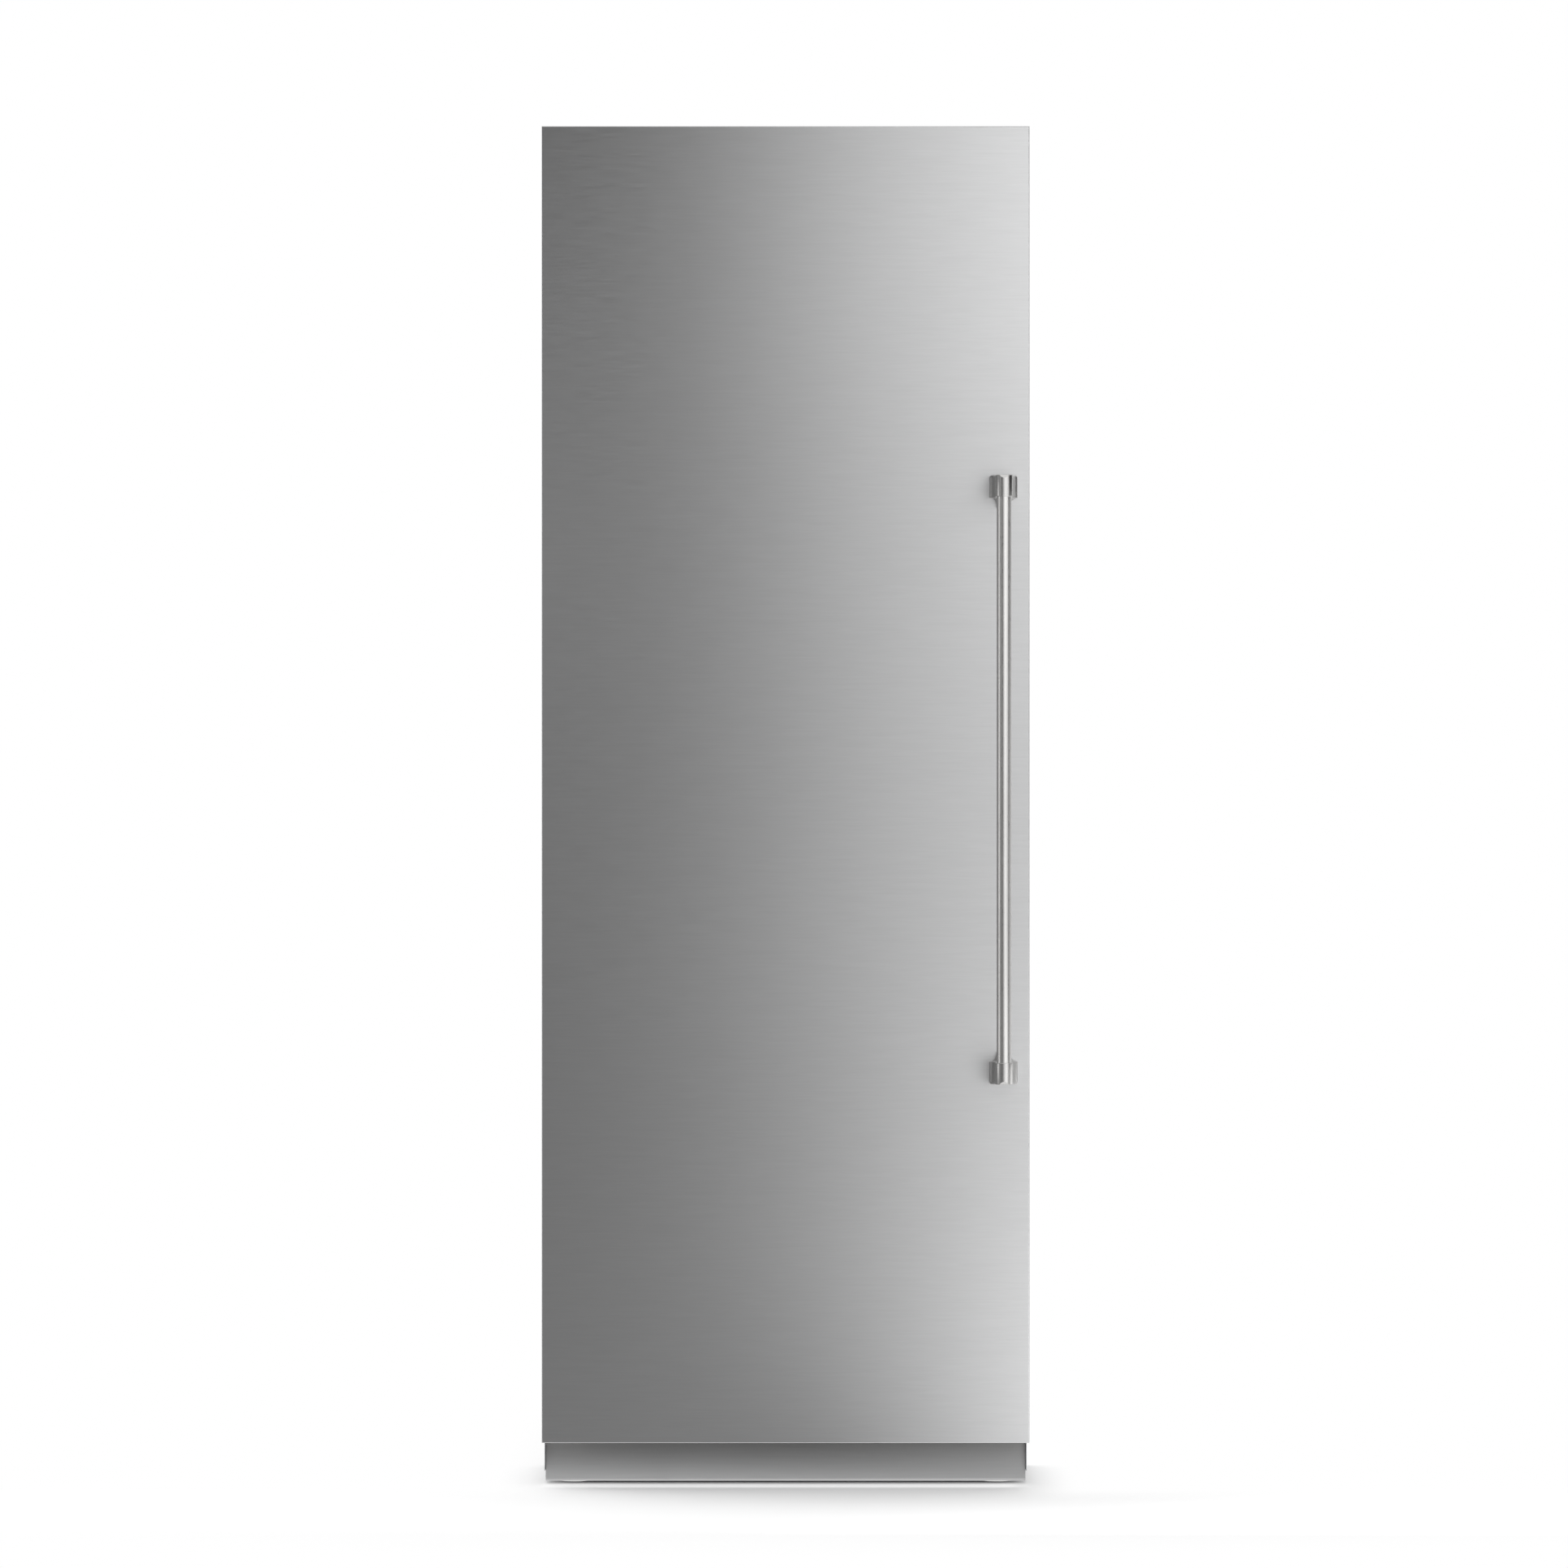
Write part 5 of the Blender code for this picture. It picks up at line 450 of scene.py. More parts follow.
def extruded(bm, faces, rise):
    """Extrude faces and move them up by a rise, or down where it is negative."""
    made = bmesh.ops.extrude_face_region(bm, geom=faces)["geom"]
    corners = [item for item in made if isinstance(item, bmesh.types.BMVert)]
    bmesh.ops.translate(bm, vec=(0, 0, rise), verts=corners)


def cut(bm, point, normal, clear=False):
    """Cut a whole shape along a plane, and clear what is past it where asked."""
    bmesh.ops.bisect_plane(bm, geom=bm.verts[:] + bm.edges[:] + bm.faces[:], clear_outer=clear,
                           plane_co=point, plane_no=normal)


def soften(bm, width, angle=30):
    """Break the edges that are sharper than the angle in degrees, and leave every flat face flat."""
    limit = math.radians(angle)
    turned = []
    for face in bm.faces:
        face.smooth = False
    for edge in bm.edges:
        if len(edge.link_faces) != 2:
            continue
        fold = edge.calc_face_angle(0)
        if fold > limit:
            turned.append(edge)
        elif fold > FLATTEST_FOLD:
            for face in edge.link_faces:
                face.smooth = True
    rounded = set(bevelled(bm, turned, width, 2, clamp=True)["faces"])
    for face in rounded:
        face.smooth = True
    for edge in bm.edges:
        if len(edge.link_faces) == 2:
            beside = sum(face in rounded for face in edge.link_faces)
            edge.smooth = beside != 1 and edge.calc_face_angle(0) < limit


def softened_node(node, width):
    """A node's own shape with its sharp edges broken, in the node's place."""
    bm = merged_copy(node)
    soften(bm, width)
    finished(bm, node + "_finished", node, FINISH_OF[node], sharp=None, replaces=(node,))


def plan_centre(node):
    """The middle of a node's box, seen from above."""
    low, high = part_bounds(node)
    return (low.x + high.x) / 2, (low.y + high.y) / 2


def spun(profile, steps, centre=(0, 0)):
    """A profile of radius and height pairs, spun about an upright line."""
    bm = bmesh.new()
    verts = [bm.verts.new((centre[0] + radius, centre[1], height)) for radius, height in profile]
    edges = [bm.edges.new(pair) for pair in zip(verts, verts[1:])]
    bmesh.ops.spin(bm, geom=verts + edges, cent=(*centre, 0), axis=(0, 0, 1), angle=math.tau, steps=steps,
                   use_merge=True)
    bmesh.ops.remove_doubles(bm, verts=bm.verts, dist=SPUN_WELD)
    bmesh.ops.recalc_face_normals(bm, faces=bm.faces)
    return bm


def stood(bm, place, outward):
    """Put a shape made about the Z axis on its place, with its top looking outward."""
    turn = Vector((0, 0, 1)).rotation_difference(Vector(outward)).to_matrix().to_4x4()
    bmesh.ops.transform(bm, matrix=Matrix.Translation(place) @ turn, verts=bm.verts)
    return bm


def added(bm, shape, places):
    """Add a copy of a shape to a bmesh on each place, and free the shape."""
    template = bpy.data.meshes.new("template")
    shape.to_mesh(template)
    shape.free()
    for place in places:
        before = len(bm.verts)
        bm.from_mesh(template)
        bm.verts.ensure_lookup_table()
        bmesh.ops.translate(bm, vec=Vector(place), verts=bm.verts[before:])
    bpy.data.meshes.remove(template)


def fittings(name, node, finish, shape, places, outward):
    """One piece of many small shapes, each on its place with its top looking outward."""
    bm = bmesh.new()
    added(bm, stood(shape, (0, 0, 0), outward), places)
    finished(bm, name, node, finish, sharp=40)


def pan_screw(radius, height=0.0018):
    """A pan head with a cross recess."""
    profile = ((0, 1.0), (0.5, 1.0), (0.78, 0.86), (0.94, 0.55), (1.0, 0.2), (1.0, 0.0))
    half_long, half_wide, recess = 0.56 * radius, 0.13 * radius, 0.55 * height
    bm = spun([(radius * out, height * up) for out, up in profile], 24)
    for normal in ((1, 0, 0), (0, 1, 0)):
        for offset in (-half_long, -half_wide, half_wide, half_long):
            cut(bm, Vector(normal) * offset, normal)
    cross = []
    for face in bm.faces:
        middle = face.calc_center_median()
        near, far = sorted((abs(middle.x), abs(middle.y)))
        if near < half_wide and far < half_long and middle.z > 0:
            cross.append(face)
    extruded(bm, cross, -recess)
    bmesh.ops.recalc_face_normals(bm, faces=bm.faces)
    return bm


def hexagon_screw():
    """A washer-headed hexagon screw."""
    radius, height, middle, rim_level, rim_bevel = 0.0037, 0.0026, 0.0021, 0.003, 0.0004
    washer, washer_edge, washer_top = radius * 1.35, 0.0005, 0.0009
    head = bmesh.new()
    bmesh.ops.create_cone(head, cap_ends=True, segments=6, radius1=radius, radius2=radius, depth=height,
                          matrix=Matrix.Translation((0, 0, middle)))
    rim = [edge for edge in head.edges if all(vert.co.z > rim_level for vert in edge.verts)]
    bevelled(head, rim, rim_bevel, 2)
    bm = spun([(0, 0), (washer, 0), (washer, washer_edge), (washer * 0.94, washer_top), (0, washer_top)], 24)
    added(bm, head, [(0, 0, 0)])
    return bm


# How wide the broken edges of each node are. The lower shelf frame keeps its plain edges, because one of its
# broken edges came out as a turned sliver.
SOFTENED = {
    "kickplate": 0.0004, "door_shell": 0.0005, "door_liner": 0.0012, "door_gasket": 0.0006,
    "door_bin_lower": 0.0006, "door_bin_middle": 0.0006, "door_bin_upper": 0.0006, "dairy_box": 0.0006,
    "dairy_lid": 0.0006, "outer_case": 0.0002, "inner_liner": 0.001, "front_frame": 0.0004,
    "evaporator_cover": 0.0008, "shelf_frame_middle": 0.0005, "shelf_frame_upper": 0.0005,
    "shelf_glass_lower": 0.0012, "shelf_glass_middle": 0.0012, "shelf_glass_upper": 0.0012,
    "deli_drawer": 0.0007, "crisper_left": 0.0007, "crisper_right": 0.0007, "crisper_frame": 0.0008,
    "crisper_glass": 0.0012, "control_panel": 0.0015, "ceiling_lamp": 0.001, "machine_grille": 0.0003,
    "hinge_plate_upper": 0.0003, "hinge_plate_lower": 0.0003, "base_frame": 0.0003,
    "rear_access_cover": 0.0002, "power_inlet": 0.0004, "drain_pan": 0.0006, "control_box": 0.0012,
    "condenser": 0.0003, "compressor": 0.0008, "condenser_shroud": 0.0006, "condenser_fan": 0.0003,
    "condenser_fan_motor": 0.0006, "shelf_ladder_left": 0.0002, "shelf_ladder_right": 0.0002,
    "levelling_leg_left": 0.0004, "levelling_leg_right": 0.0004, "rear_roller_left": 0.0006,
    "rear_roller_right": 0.0006, "hinge_bushing_upper": 0.0003, "hinge_bushing_lower": 0.0003,
    "evaporator_fan": 0.0003, "discharge_line": 0.0002, "filter_drier": 0.0003,
}
for node, width in SOFTENED.items():
    softened_node(node, width)


def door_front():
    """The folded front panel: a face with bent edges and four flanges."""
    low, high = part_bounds("door_panel")
    bend, sheet = 0.0018, 0.0012
    bm = bmesh.new()
    bmesh.ops.create_cube(bm, size=1.0, matrix=Matrix.Translation((low + high) / 2)
                          @ Matrix.Diagonal((*(high - low), 1)))
    front = min(bm.faces, key=lambda face: face.calc_center_median().y)
    bevelled(bm, list(front.edges), bend, 4)
    back = max(bm.faces, key=lambda face: face.calc_center_median().y)
    bmesh.ops.delete(bm, geom=[back], context="FACES")
    bmesh.ops.recalc_face_normals(bm, faces=bm.faces)
    bmesh.ops.solidify(bm, geom=list(bm.faces), thickness=sheet)
    bmesh.ops.recalc_face_normals(bm, faces=bm.faces)
    finished(bm, "door_front", "door_panel", panel_steel, replaces=("door_panel",))


# Handle
NECK_STEP = 0.0006
NECK_END = 0.0011
MOUNT_REACH = 0.050
MOUNT_WIDTH = 0.043
MOUNT_STRAIGHT = 0.034
MOUNT_FLARE = 0.015
MOUNT_TIP = 0.010
MOUNT_CORNER = 0.0042
MOUNT_MARGIN = 0.001
FOOT_CLEARANCE = 0.0003
CORNER_STEPS = 4
FLARE_STEPS = 16
FERRULE_RADIUS = 0.0135
FERRULE_LENGTH = 0.033
FACET_HEIGHT = 0.0042
FACET_DEPTH = 0.0022
BORE_RADIUS = 0.0118
BORE_DEPTH = 0.026
# How far out, how wide and how flared each section of a mount is, as shares
MOUNT_SHARES = (
    (0.0, 1.0, 1.0), (0.08, 1.0, 1.0), (0.105, 0.985, 0.96), (0.125, 0.95, 0.86), (0.15, 0.90, 0.73),
    (0.18, 0.85, 0.60), (0.22, 0.80, 0.48), (0.27, 0.755, 0.38), (0.34, 0.715, 0.28),
    (0.42, 0.68, 0.20), (0.52, 0.645, 0.13), (0.66, 0.615, 0.08), (0.90, 0.60, 0.04),
)


def handle_rod():
    """The upright bar, necked where each end goes into its ferrule."""
    low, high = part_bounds("handle_bar")
    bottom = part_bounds("handle_mount_lower")[0].z + FERRULE_LENGTH
    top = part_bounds("handle_mount_upper")[1].z - FERRULE_LENGTH
    radius = (high.x - low.x) / 2
    neck = radius - NECK_STEP
    profile = [(0, low.z), (neck, low.z), (neck, bottom + NECK_STEP), (radius, bottom + NECK_END),
               (radius, top - NECK_END), (neck, top - NECK_STEP), (neck, high.z), (0, high.z)]
    rod = finished(spun(profile, 72, plan_centre("handle_bar")), "handle_rod", "handle_bar", handle_steel_painted_sheen,
                   replaces=("handle_bar",))
    # In the photograph the bar leaves no shade on the panel beside it.
    rod.visible_glossy = False
    rod.visible_shadow = False


def mount_section(width_share, flare_share):
    """Half of a mount's outline from its outer end inward, as points across and down."""
    half = width_share * MOUNT_WIDTH / 2
    tip = min(half, MOUNT_TIP)
    corner = MOUNT_CORNER * width_share
    flare = flare_share * MOUNT_FLARE
    points = [(0, -MOUNT_MARGIN)]
    for step in range(CORNER_STEPS + 1):
        angle = math.radians(90 * step / CORNER_STEPS)
        points.append((half - corner + corner * math.sin(angle),
                       -MOUNT_MARGIN + corner * (1 - math.cos(angle))))
    for step in range(FLARE_STEPS + 1):
        angle = math.radians(90 * step / FLARE_STEPS)
        points.append((half - (half - tip) * math.sin(angle), MOUNT_STRAIGHT + flare * (1 - math.cos(angle))))
    points.append((0, MOUNT_STRAIGHT + flare))
    return points


def mount_foot(node, centre, panel_face, end, inward):
    """The cast foot and neck: sections joined from the panel out to the ferrule."""
    bm = bmesh.new()
    rings = []
    for reach, width_share, flare_share in MOUNT_SHARES:
        right = mount_section(width_share, flare_share)
        left = [(-across, down) for across, down in reversed(right[1:-1])]
        level = panel_face - reach * MOUNT_REACH
        verts = [bm.verts.new((centre + across, level, end + inward * down)) for across, down in right + left]
        rings.append([bm.edges.new(pair) for pair in zip(verts, verts[1:] + verts[:1])])
    for first, second in zip(rings, rings[1:]):
        bmesh.ops.bridge_loops(bm, edges=first + second)
    for ring in (rings[0], rings[-1]):
        bmesh.ops.edgeloop_fill(bm, edges=ring)
    bmesh.ops.recalc_face_normals(bm, faces=bm.faces)
    finished(bm, node + "_foot", node, mount_steel, sharp=28, replaces=(node,))


def ferrule(node, axis, end, inward):
    """The sleeve over the bar's end, with a slanting flat across the front of its outer end."""
    out, bore, length = FERRULE_RADIUS, BORE_RADIUS, FERRULE_LENGTH
    rim, rim_cut, lip, mouth, seat = 0.0007, 0.0002, 0.0006, 0.0004, length - BORE_DEPTH
    bm = spun([(0, 0), (out - rim, 0), (out - rim_cut, rim_cut), (out, rim), (out, length - lip),
               (out - lip, length), (bore + mouth, length), (bore, length - mouth), (bore, seat),
               (0, seat)], 96)
    if inward < 0:
        bmesh.ops.scale(bm, vec=(1, 1, -1), verts=bm.verts)
    bmesh.ops.translate(bm, vec=(*axis, end), verts=bm.verts)
    cut(bm, (axis[0], axis[1] - out, end + inward * FACET_HEIGHT), (0, -FACET_HEIGHT, -inward * FACET_DEPTH),
        clear=True)
    bmesh.ops.holes_fill(bm, edges=[edge for edge in bm.edges if edge.is_boundary], sides=0)
    bmesh.ops.recalc_face_normals(bm, faces=bm.faces)
    finished(bm, node + "_ferrule", node, mount_steel, sharp=26)


def handle_mounts():
    """Both cast mounts, the lower one the other way up."""
    axis = plan_centre("handle_bar")
    panel_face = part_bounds("door_panel")[0].y - FOOT_CLEARANCE
    for node, corner, inward in (("handle_mount_upper", 1, -1), ("handle_mount_lower", 0, 1)):
        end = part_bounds(node)[corner].z + inward * MOUNT_MARGIN
        mount_foot(node, axis[0], panel_face, end, inward)
        ferrule(node, axis, end, inward)


def spread_out(start, stop, count):
    """Evenly spaced numbers from start to stop."""
    return [start + (stop - start) * step / (count - 1) for step in range(count)]


def rear_screws():
    """The screws round the rear panel and round the machine's cover below it."""
    aside, edge, top_edge, bottom_edge = 0.366, 0.012, 0.010, 0.02
    low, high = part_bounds("rear_panel")
    levels = spread_out(low.z + bottom_edge, high.z - edge, 8)
    sides = [(side * aside, high.y, level) for side in (-1, 1) for level in levels]
    ends = [(across, high.y, level)
            for across in (-aside / 2, 0, aside / 2) for level in (low.z + edge, high.z - top_edge)]
    fittings("rear_panel_screws", "rear_panel", hardware_zinc, hexagon_screw(), sides + ends, (0, 1, 0))
    low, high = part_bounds("rear_access_cover")
    places = [(side * aside, high.y, level) for side in (-1, 1) for level in (low.z + edge, high.z - edge)]
    places += [(0, high.y, high.z - top_edge)]
    fittings("rear_cover_screws", "rear_access_cover", hardware_zinc, hexagon_screw(), places, (0, 1, 0))


def front_screws():
    """The screws of the grille, of the upper hinge plate and of the shelf ladders."""
    grille_aside, grille_edge = 0.369, 0.02
    plate_columns, plate_back, plate_front = (-0.352, -0.330), 0.014, 0.060
    ladder_edge = 0.009
    low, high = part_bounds("machine_grille")
    places = [(side * grille_aside, low.y, level)
              for side in (-1, 1) for level in (low.z + grille_edge, high.z - grille_edge)]
    fittings("grille_screws", "machine_grille", base_paint, pan_screw(0.0032), places, (0, -1, 0))
    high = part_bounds("hinge_plate_upper")[1]
    places = [(across, back, high.z)
              for across in plate_columns for back in (high.y - plate_front, high.y - plate_back)]
    fittings("hinge_plate_screws", "hinge_plate_upper", hardware_zinc, hexagon_screw(), places, (0, 0, 1))
    for node in ("shelf_ladder_left", "shelf_ladder_right"):
        low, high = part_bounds(node)
        middle = plan_centre(node)[0]
        places = [(middle, low.y, level) for level in (low.z + ladder_edge, high.z - ladder_edge)]
        fittings(node + "_screws", node, hardware_zinc, pan_screw(0.003, 0.0014), places, (0, -1, 0))


def console_marks():
    """The dark window of the controls and the plain printed signs beside it."""
    window, window_corner, window_rise, window_edge = (0.12, 0.016), 0.003, 0.0005, 0.0002
    ring, line, ink = 0.0042, (0.0044, 0.0006), 0.00012
    ring_edge = 0.0047
    low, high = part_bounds("control_panel")
    place = (0, low.y, (low.z + high.z) / 2)
    bm = bmesh.new()
    bmesh.ops.create_grid(bm, x_segments=1, y_segments=1, size=0.5, matrix=Matrix.Diagonal((*window, 1, 1)))
    bevelled(bm, bm.verts[:], window_corner, 5, affect="VERTICES")
    extruded(bm, bm.faces[:], window_rise)
    soften(bm, window_edge, 60)
    finished(stood(bm, place, (0, -1, 0)), "console_window", "control_panel", console_glass)
    signs = bmesh.new()
    circle = spun([(ring, 0), (ring, ink), (ring_edge, ink), (ring_edge, 0), (ring, 0)], 32)
    added(signs, circle, [(across, 0, 0) for across in (-0.17, -0.14, -0.11, 0.11, 0.14, 0.17)])
    for across, size in ((-0.14, line), (-0.11, line), (-0.11, line[::-1]), (0.11, line[::-1])):
        bmesh.ops.create_grid(signs, x_segments=1, y_segments=1, size=0.5,
                              matrix=Matrix.Translation((across, 0, ink)) @ Matrix.Diagonal((*size, 1, 1)))
    finished(stood(signs, place, (0, -1, 0)), "console_signs", "control_panel", print_grey)


def leg_threads():
    """The rolled thread on each levelling leg's stud."""
    root, crest, pitch = 0.0049, 0.0056, 0.0015
    above_foot, below_top, steps = 0.016, 0.002, 20
    ridge = ((root, 0), (crest, pitch * 0.45), (crest, pitch * 0.55), (root, pitch))
    for node in ("levelling_leg_left", "levelling_leg_right"):
        low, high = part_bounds(node)
        centre = plan_centre(node)
        bottom, top = low.z + above_foot, high.z - below_top
        turns = int((top - bottom) / pitch)
        bm = bmesh.new()
        verts = [bm.verts.new((centre[0] + radius, centre[1], bottom + level)) for radius, level in ridge]
        edges = [bm.edges.new(pair) for pair in zip(verts, verts[1:])]
        bmesh.ops.spin(bm, geom=verts + edges, cent=(*centre, 0), axis=(0, 0, 1), angle=math.tau * turns,
                       dvec=(0, 0, pitch / steps), steps=steps * turns)
        bmesh.ops.remove_doubles(bm, verts=bm.verts, dist=WELD)
        finished(bm, node + "_thread", node, hardware_zinc, sharp=50)


door_front()
handle_rod()
handle_mounts()
rear_screws()
front_screws()
console_marks()
leg_threads()


# Studio
FLOOR_SHADE = (0.86, 0.86, 0.86)
FLOOR_REACH = 60.0
AMBIENT = 0.54
# The floor's glow as metal sees it, under the door and behind it
UNDER_DOOR = 1.3
BEHIND_DOOR = 0.85
# Soft steps. Each starts and stops at its first two numbers and goes from the third to the fourth.
FLANK_ASIDE = (0.33, 0.46, 0.0, 1.0)
FLANK_ALONG = (-0.75, -0.35, 0.35, 1.0)
PAST_SHADOW = (1.3, 2.2, 0.0, 1.0)
# Painted light: a glow that the camera sees on the floor under the door's front, which makes the shadow there
# paler
PAINTED_LIGHT_ALONG = (-0.36, -0.27, 0.0, 0.42)
PAINTED_LIGHT_END = (-0.215, -0.195, 1.0, 0.0)
PAINTED_LIGHT_SIDES = (0.34, 0.39, 1.0, 0.0)
PATCH_ALONG = (-2.2, -1.3, 0.0, 1.0)
PATCH_END = (1.0, 1.6, 1.0, 0.0)
PATCH_STRENGTH = (0.0, 0.8, 0.06, 1.75)
FRONT_STRENGTH = (0.8, 2.0, 0.27, 0.47)
INTO_UNDER_DOOR = (-0.31, -0.27, 0.0, 1.0)
INTO_BEHIND = (-0.16, 0.6, 0.0, 1.0)
BEHIND_SLANT = 0.6
ROOM_BEHIND = (0.45, 0.9, 0.012, 1.0)
ROOM_ABOVE = (0.55, 0.8, 0.0, 0.9)
ROOM_LEFT = (-0.85, -0.5, 0.25, 0.0)

# Lamps before the door
LAMP_PLANE = -1.586
LAMP_HEIGHT = 0.6
LAMP_LEVELS = (0.35, 0.95, 1.55, 2.15, 2.75)
# Place across, width and power at each level of each column. The powers began as a fit to the greys of the
# panel in the photograph, and some of them were then changed.
LAMP_COLUMNS = (
    (-1.0, 0.6, (0.0, 0.1, 0.4, 0.3, 0.0)),
    (0.15, 0.3, (0.15, 0.28, 0.36, 0.55, 0.4)),
    (0.45, 0.3, (0.34, 0.46, 0.5, 0.6, 0.7)),
    (0.75, 0.3, (0.74, 0.6, 0.8, 0.86, 1.0)),
    (1.1, 0.4, (1.2, 0.56, 0.85, 1.3, 1.45)),
    (1.6, 0.6, (1.5, 0.6, 1.05, 2.0, 2.2)),
    (2.4, 1.0, (1.0, 0.5, 1.3, 3.3, 3.6)),
)

# A strip at the left and a soft light from above
STRIP_PLACE = (-2.1, -0.68, 1.1)
STRIP_TARGET = (0.3, -0.68, 1.1)
STRIP_SIZE = (0.7, 2.0)
STRIP_POWER = 4.0
OVERHEAD_PLACE = (0, 0, 4)
OVERHEAD_FALL = (0.12, -0.3, -1)
OVERHEAD_SPREAD = 34
OVERHEAD_STRENGTH = 1.95


def maths(tree, operation, first, second):
    """A maths node. Each of its two numbers is a socket or a plain number."""
    node = tree.nodes.new("ShaderNodeMath")
    node.operation = operation
    for place, value in enumerate((first, second)):
        if isinstance(value, (int, float)):
            node.inputs[place].default_value = value
        else:
            tree.links.new(value, node.inputs[place])
    return node.outputs[0]


def ramp(tree, value, start, stop, low, high):
    """A soft step from low to high as a value goes from start to stop."""
    node = tree.nodes.new("ShaderNodeMapRange")
    node.interpolation_type = "SMOOTHSTEP"
    for socket, number in (("From Min", start), ("From Max", stop), ("To Min", low), ("To Max", high)):
        node.inputs[socket].default_value = number
    tree.links.new(value, node.inputs["Value"])
    return node.outputs["Result"]


def mixed(tree, factor, first, second):
    """From first to second as a factor goes from 0 to 1. Each is a socket or a plain number."""
    node = tree.nodes.new("ShaderNodeMix")
    tree.links.new(factor, node.inputs["Factor"])
    for socket, value in (("A", first), ("B", second)):
        if isinstance(value, (int, float)):
            node.inputs[socket].default_value = value
        else:
            tree.links.new(value, node.inputs[socket])
    return node.outputs["Result"]


def floor_finish():
    """Pale matte floor. The camera sees it white round the shadow. Metal sees it glow, most of all in a patch
    before the door's right half and under the door.
    """
    material = bpy.data.materials.new("studio_floor")
    material.use_nodes = True
    tree = material.node_tree
    tree.nodes.clear()
    out = tree.nodes.new("ShaderNodeOutputMaterial")
    matte = tree.nodes.new("ShaderNodeBsdfDiffuse")
    matte.inputs["Color"].default_value = (*FLOOR_SHADE, 1)
    glow = tree.nodes.new("ShaderNodeEmission")
    light_path = tree.nodes.new("ShaderNodeLightPath")
    position = tree.nodes.new("ShaderNodeTexCoord")
    split = tree.nodes.new("ShaderNodeSeparateXYZ")
    tree.links.new(position.outputs["Object"], split.inputs[0])
    length = tree.nodes.new("ShaderNodeVectorMath")
    length.operation = "LENGTH"
    tree.links.new(position.outputs["Object"], length.inputs[0])
    across, along = split.outputs["X"], split.outputs["Y"]
    sideways = maths(tree, "ABSOLUTE", across, 0.0)

    # Where the camera sees plain white, and the painted light that makes the shadow under the door's front paler
    flank = maths(tree, "MULTIPLY", ramp(tree, sideways, *FLANK_ASIDE), ramp(tree, along, *FLANK_ALONG))
    far = maths(tree, "MAXIMUM", ramp(tree, length.outputs["Value"], *PAST_SHADOW), flank)
    painted_glow = maths(tree, "MULTIPLY", ramp(tree, along, *PAINTED_LIGHT_ALONG), ramp(tree, sideways, *PAINTED_LIGHT_SIDES))
    painted_glow = maths(tree, "MULTIPLY", painted_glow, ramp(tree, along, *PAINTED_LIGHT_END))

    # What metal sees: a patch before the door's right half, then the floor under the door and behind it
    near, beside = ramp(tree, along, *PATCH_ALONG), ramp(tree, across, *PATCH_END)
    patch = maths(tree, "MULTIPLY", maths(tree, "MULTIPLY", near, beside), ramp(tree, across, *PATCH_STRENGTH))
    front = maths(tree, "ADD", patch, ramp(tree, across, *FRONT_STRENGTH))
    front = mixed(tree, ramp(tree, along, *INTO_UNDER_DOOR), front, UNDER_DOOR)
    slant = maths(tree, "SUBTRACT", along, maths(tree, "MULTIPLY", sideways, BEHIND_SLANT))
    reflected = mixed(tree, ramp(tree, slant, *INTO_BEHIND), front, BEHIND_DOOR)

    through = light_path.outputs["Is Transmission Ray"]
    sharp = maths(tree, "MULTIPLY", light_path.outputs["Is Glossy Ray"], maths(tree, "SUBTRACT", 1.0, through))
    seen = maths(tree, "MAXIMUM", light_path.outputs["Is Camera Ray"], through)
    camera_glow = maths(tree, "MULTIPLY", seen, mixed(tree, far, painted_glow, 1.0))
    sharp_glow = maths(tree, "MULTIPLY", sharp, reflected)
    tree.links.new(maths(tree, "ADD", camera_glow, sharp_glow), glow.inputs["Strength"])
    shown = tree.nodes.new("ShaderNodeMixShader")
    both = tree.nodes.new("ShaderNodeAddShader")
    tree.links.new(matte.outputs[0], both.inputs[0])
    tree.links.new(glow.outputs[0], both.inputs[1])
    hidden = maths(tree, "MAXIMUM", maths(tree, "MULTIPLY", seen, far), sharp)
    tree.links.new(hidden, shown.inputs[0])
    tree.links.new(both.outputs[0], shown.inputs[1])
    tree.links.new(glow.outputs[0], shown.inputs[2])
    tree.links.new(shown.outputs[0], out.inputs["Surface"])
    return material


def studio_floor():
    """The floor, at the level that the feet stand on."""
    bm = bmesh.new()
    bmesh.ops.create_grid(bm, x_segments=1, y_segments=1, size=FLOOR_REACH)
    mesh = bpy.data.meshes.new("studio_floor")
    bm.to_mesh(mesh)
    bm.free()
    mesh.materials.append(floor_finish())
    floor = bpy.data.objects.new("studio_floor", mesh)
    bpy.context.scene.collection.objects.link(floor)


def softbox(name, place, target, size, power):
    """A rectangular lamp at a place, facing a target, out of the camera's sight."""
    data = bpy.data.lights.new(name, "AREA")
    data.shape = "RECTANGLE"
    data.size, data.size_y = size
    data.energy = power
    lamp = bpy.data.objects.new(name, data)
    lamp.location = place
    lamp.rotation_euler = (Vector(target) - Vector(place)).to_track_quat("-Z", "Y").to_euler()
    lamp.visible_camera = False
    bpy.context.scene.collection.objects.link(lamp)


def overhead_light():
    """A wide soft light of the same strength at every height, kept out of reflections."""
    data = bpy.data.lights.new("overhead", "SUN")
    data.angle = math.radians(OVERHEAD_SPREAD)
    data.energy = OVERHEAD_STRENGTH
    lamp = bpy.data.objects.new("overhead", data)
    lamp.location = OVERHEAD_PLACE
    lamp.rotation_euler = Vector(OVERHEAD_FALL).to_track_quat("-Z", "Y").to_euler()
    lamp.visible_camera = False
    lamp.visible_glossy = False
    bpy.context.scene.collection.objects.link(lamp)


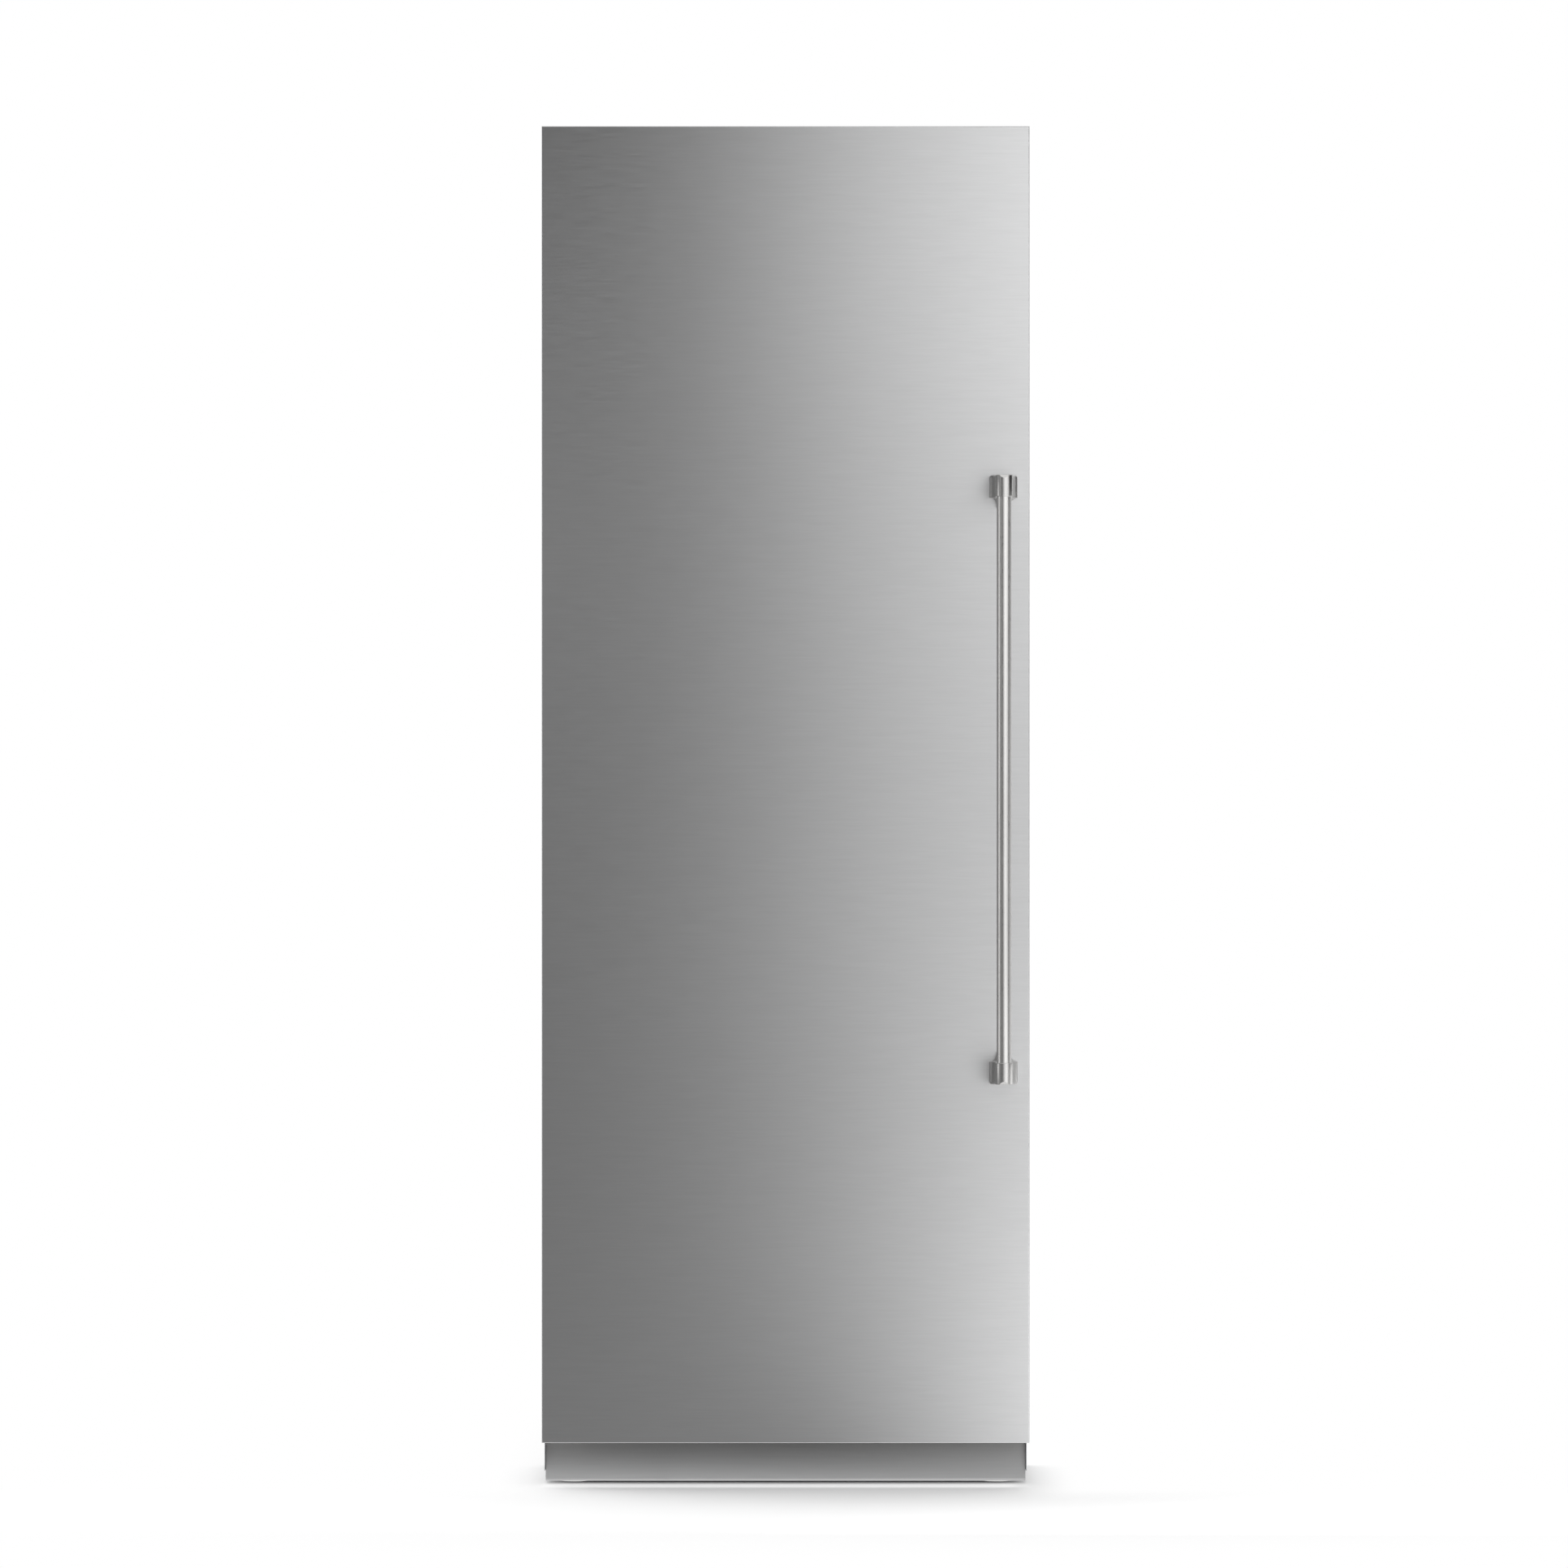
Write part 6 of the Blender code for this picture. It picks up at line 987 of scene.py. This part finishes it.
def studio_world():
    """White to the camera. In reflections it is white behind, pale above and at the left, and dark in front."""
    world = bpy.data.worlds.new("studio")
    bpy.context.scene.world = world
    world.use_nodes = True
    tree = world.node_tree
    background = tree.nodes["Background"]
    coordinates = tree.nodes.new("ShaderNodeTexCoord")
    direction = tree.nodes.new("ShaderNodeSeparateXYZ")
    tree.links.new(coordinates.outputs["Generated"], direction.inputs[0])
    behind = ramp(tree, direction.outputs["Y"], *ROOM_BEHIND)
    above = ramp(tree, direction.outputs["Z"], *ROOM_ABOVE)
    left = ramp(tree, direction.outputs["X"], *ROOM_LEFT)
    room = maths(tree, "MAXIMUM", maths(tree, "MAXIMUM", behind, above), left)
    light_path = tree.nodes.new("ShaderNodeLightPath")
    seen = maths(tree, "MAXIMUM", light_path.outputs["Is Camera Ray"],
                 light_path.outputs["Is Transmission Ray"])
    lit = mixed(tree, light_path.outputs["Is Glossy Ray"], AMBIENT, room)
    tree.links.new(mixed(tree, seen, lit, 1.0), background.inputs["Strength"])
    background.inputs["Color"].default_value = (1, 1, 1, 1)


def camera():
    """The photograph's camera, level and straight before the door."""
    data = bpy.data.cameras.new("camera")
    data.sensor_fit = "HORIZONTAL"
    data.sensor_width = FILM
    data.lens = FILM * CAMERA_DISTANCE / (PHOTO_PIXELS * PIXEL)
    data.clip_end = VIEW_END
    made = bpy.data.objects.new("camera", data)
    made.location = (CAMERA_ACROSS, part_box[0][1] + HANDLE_DEPTH - CAMERA_DISTANCE, CAMERA_HEIGHT)
    made.rotation_euler = (math.radians(90), 0, 0)
    bpy.context.scene.collection.objects.link(made)
    bpy.context.scene.camera = made


camera()
studio_floor()
studio_world()
for column, (across, width, powers) in enumerate(LAMP_COLUMNS, 1):
    for level, power in zip(LAMP_LEVELS, powers):
        if power:
            softbox(f"front_softbox_{column}_{level}", (across, LAMP_PLANE, level), (across, 0, level),
                    (width, LAMP_HEIGHT), power)
softbox("left_strip", STRIP_PLACE, STRIP_TARGET, STRIP_SIZE, STRIP_POWER)
overhead_light()
bpy.context.scene.view_settings.view_transform = "Standard"
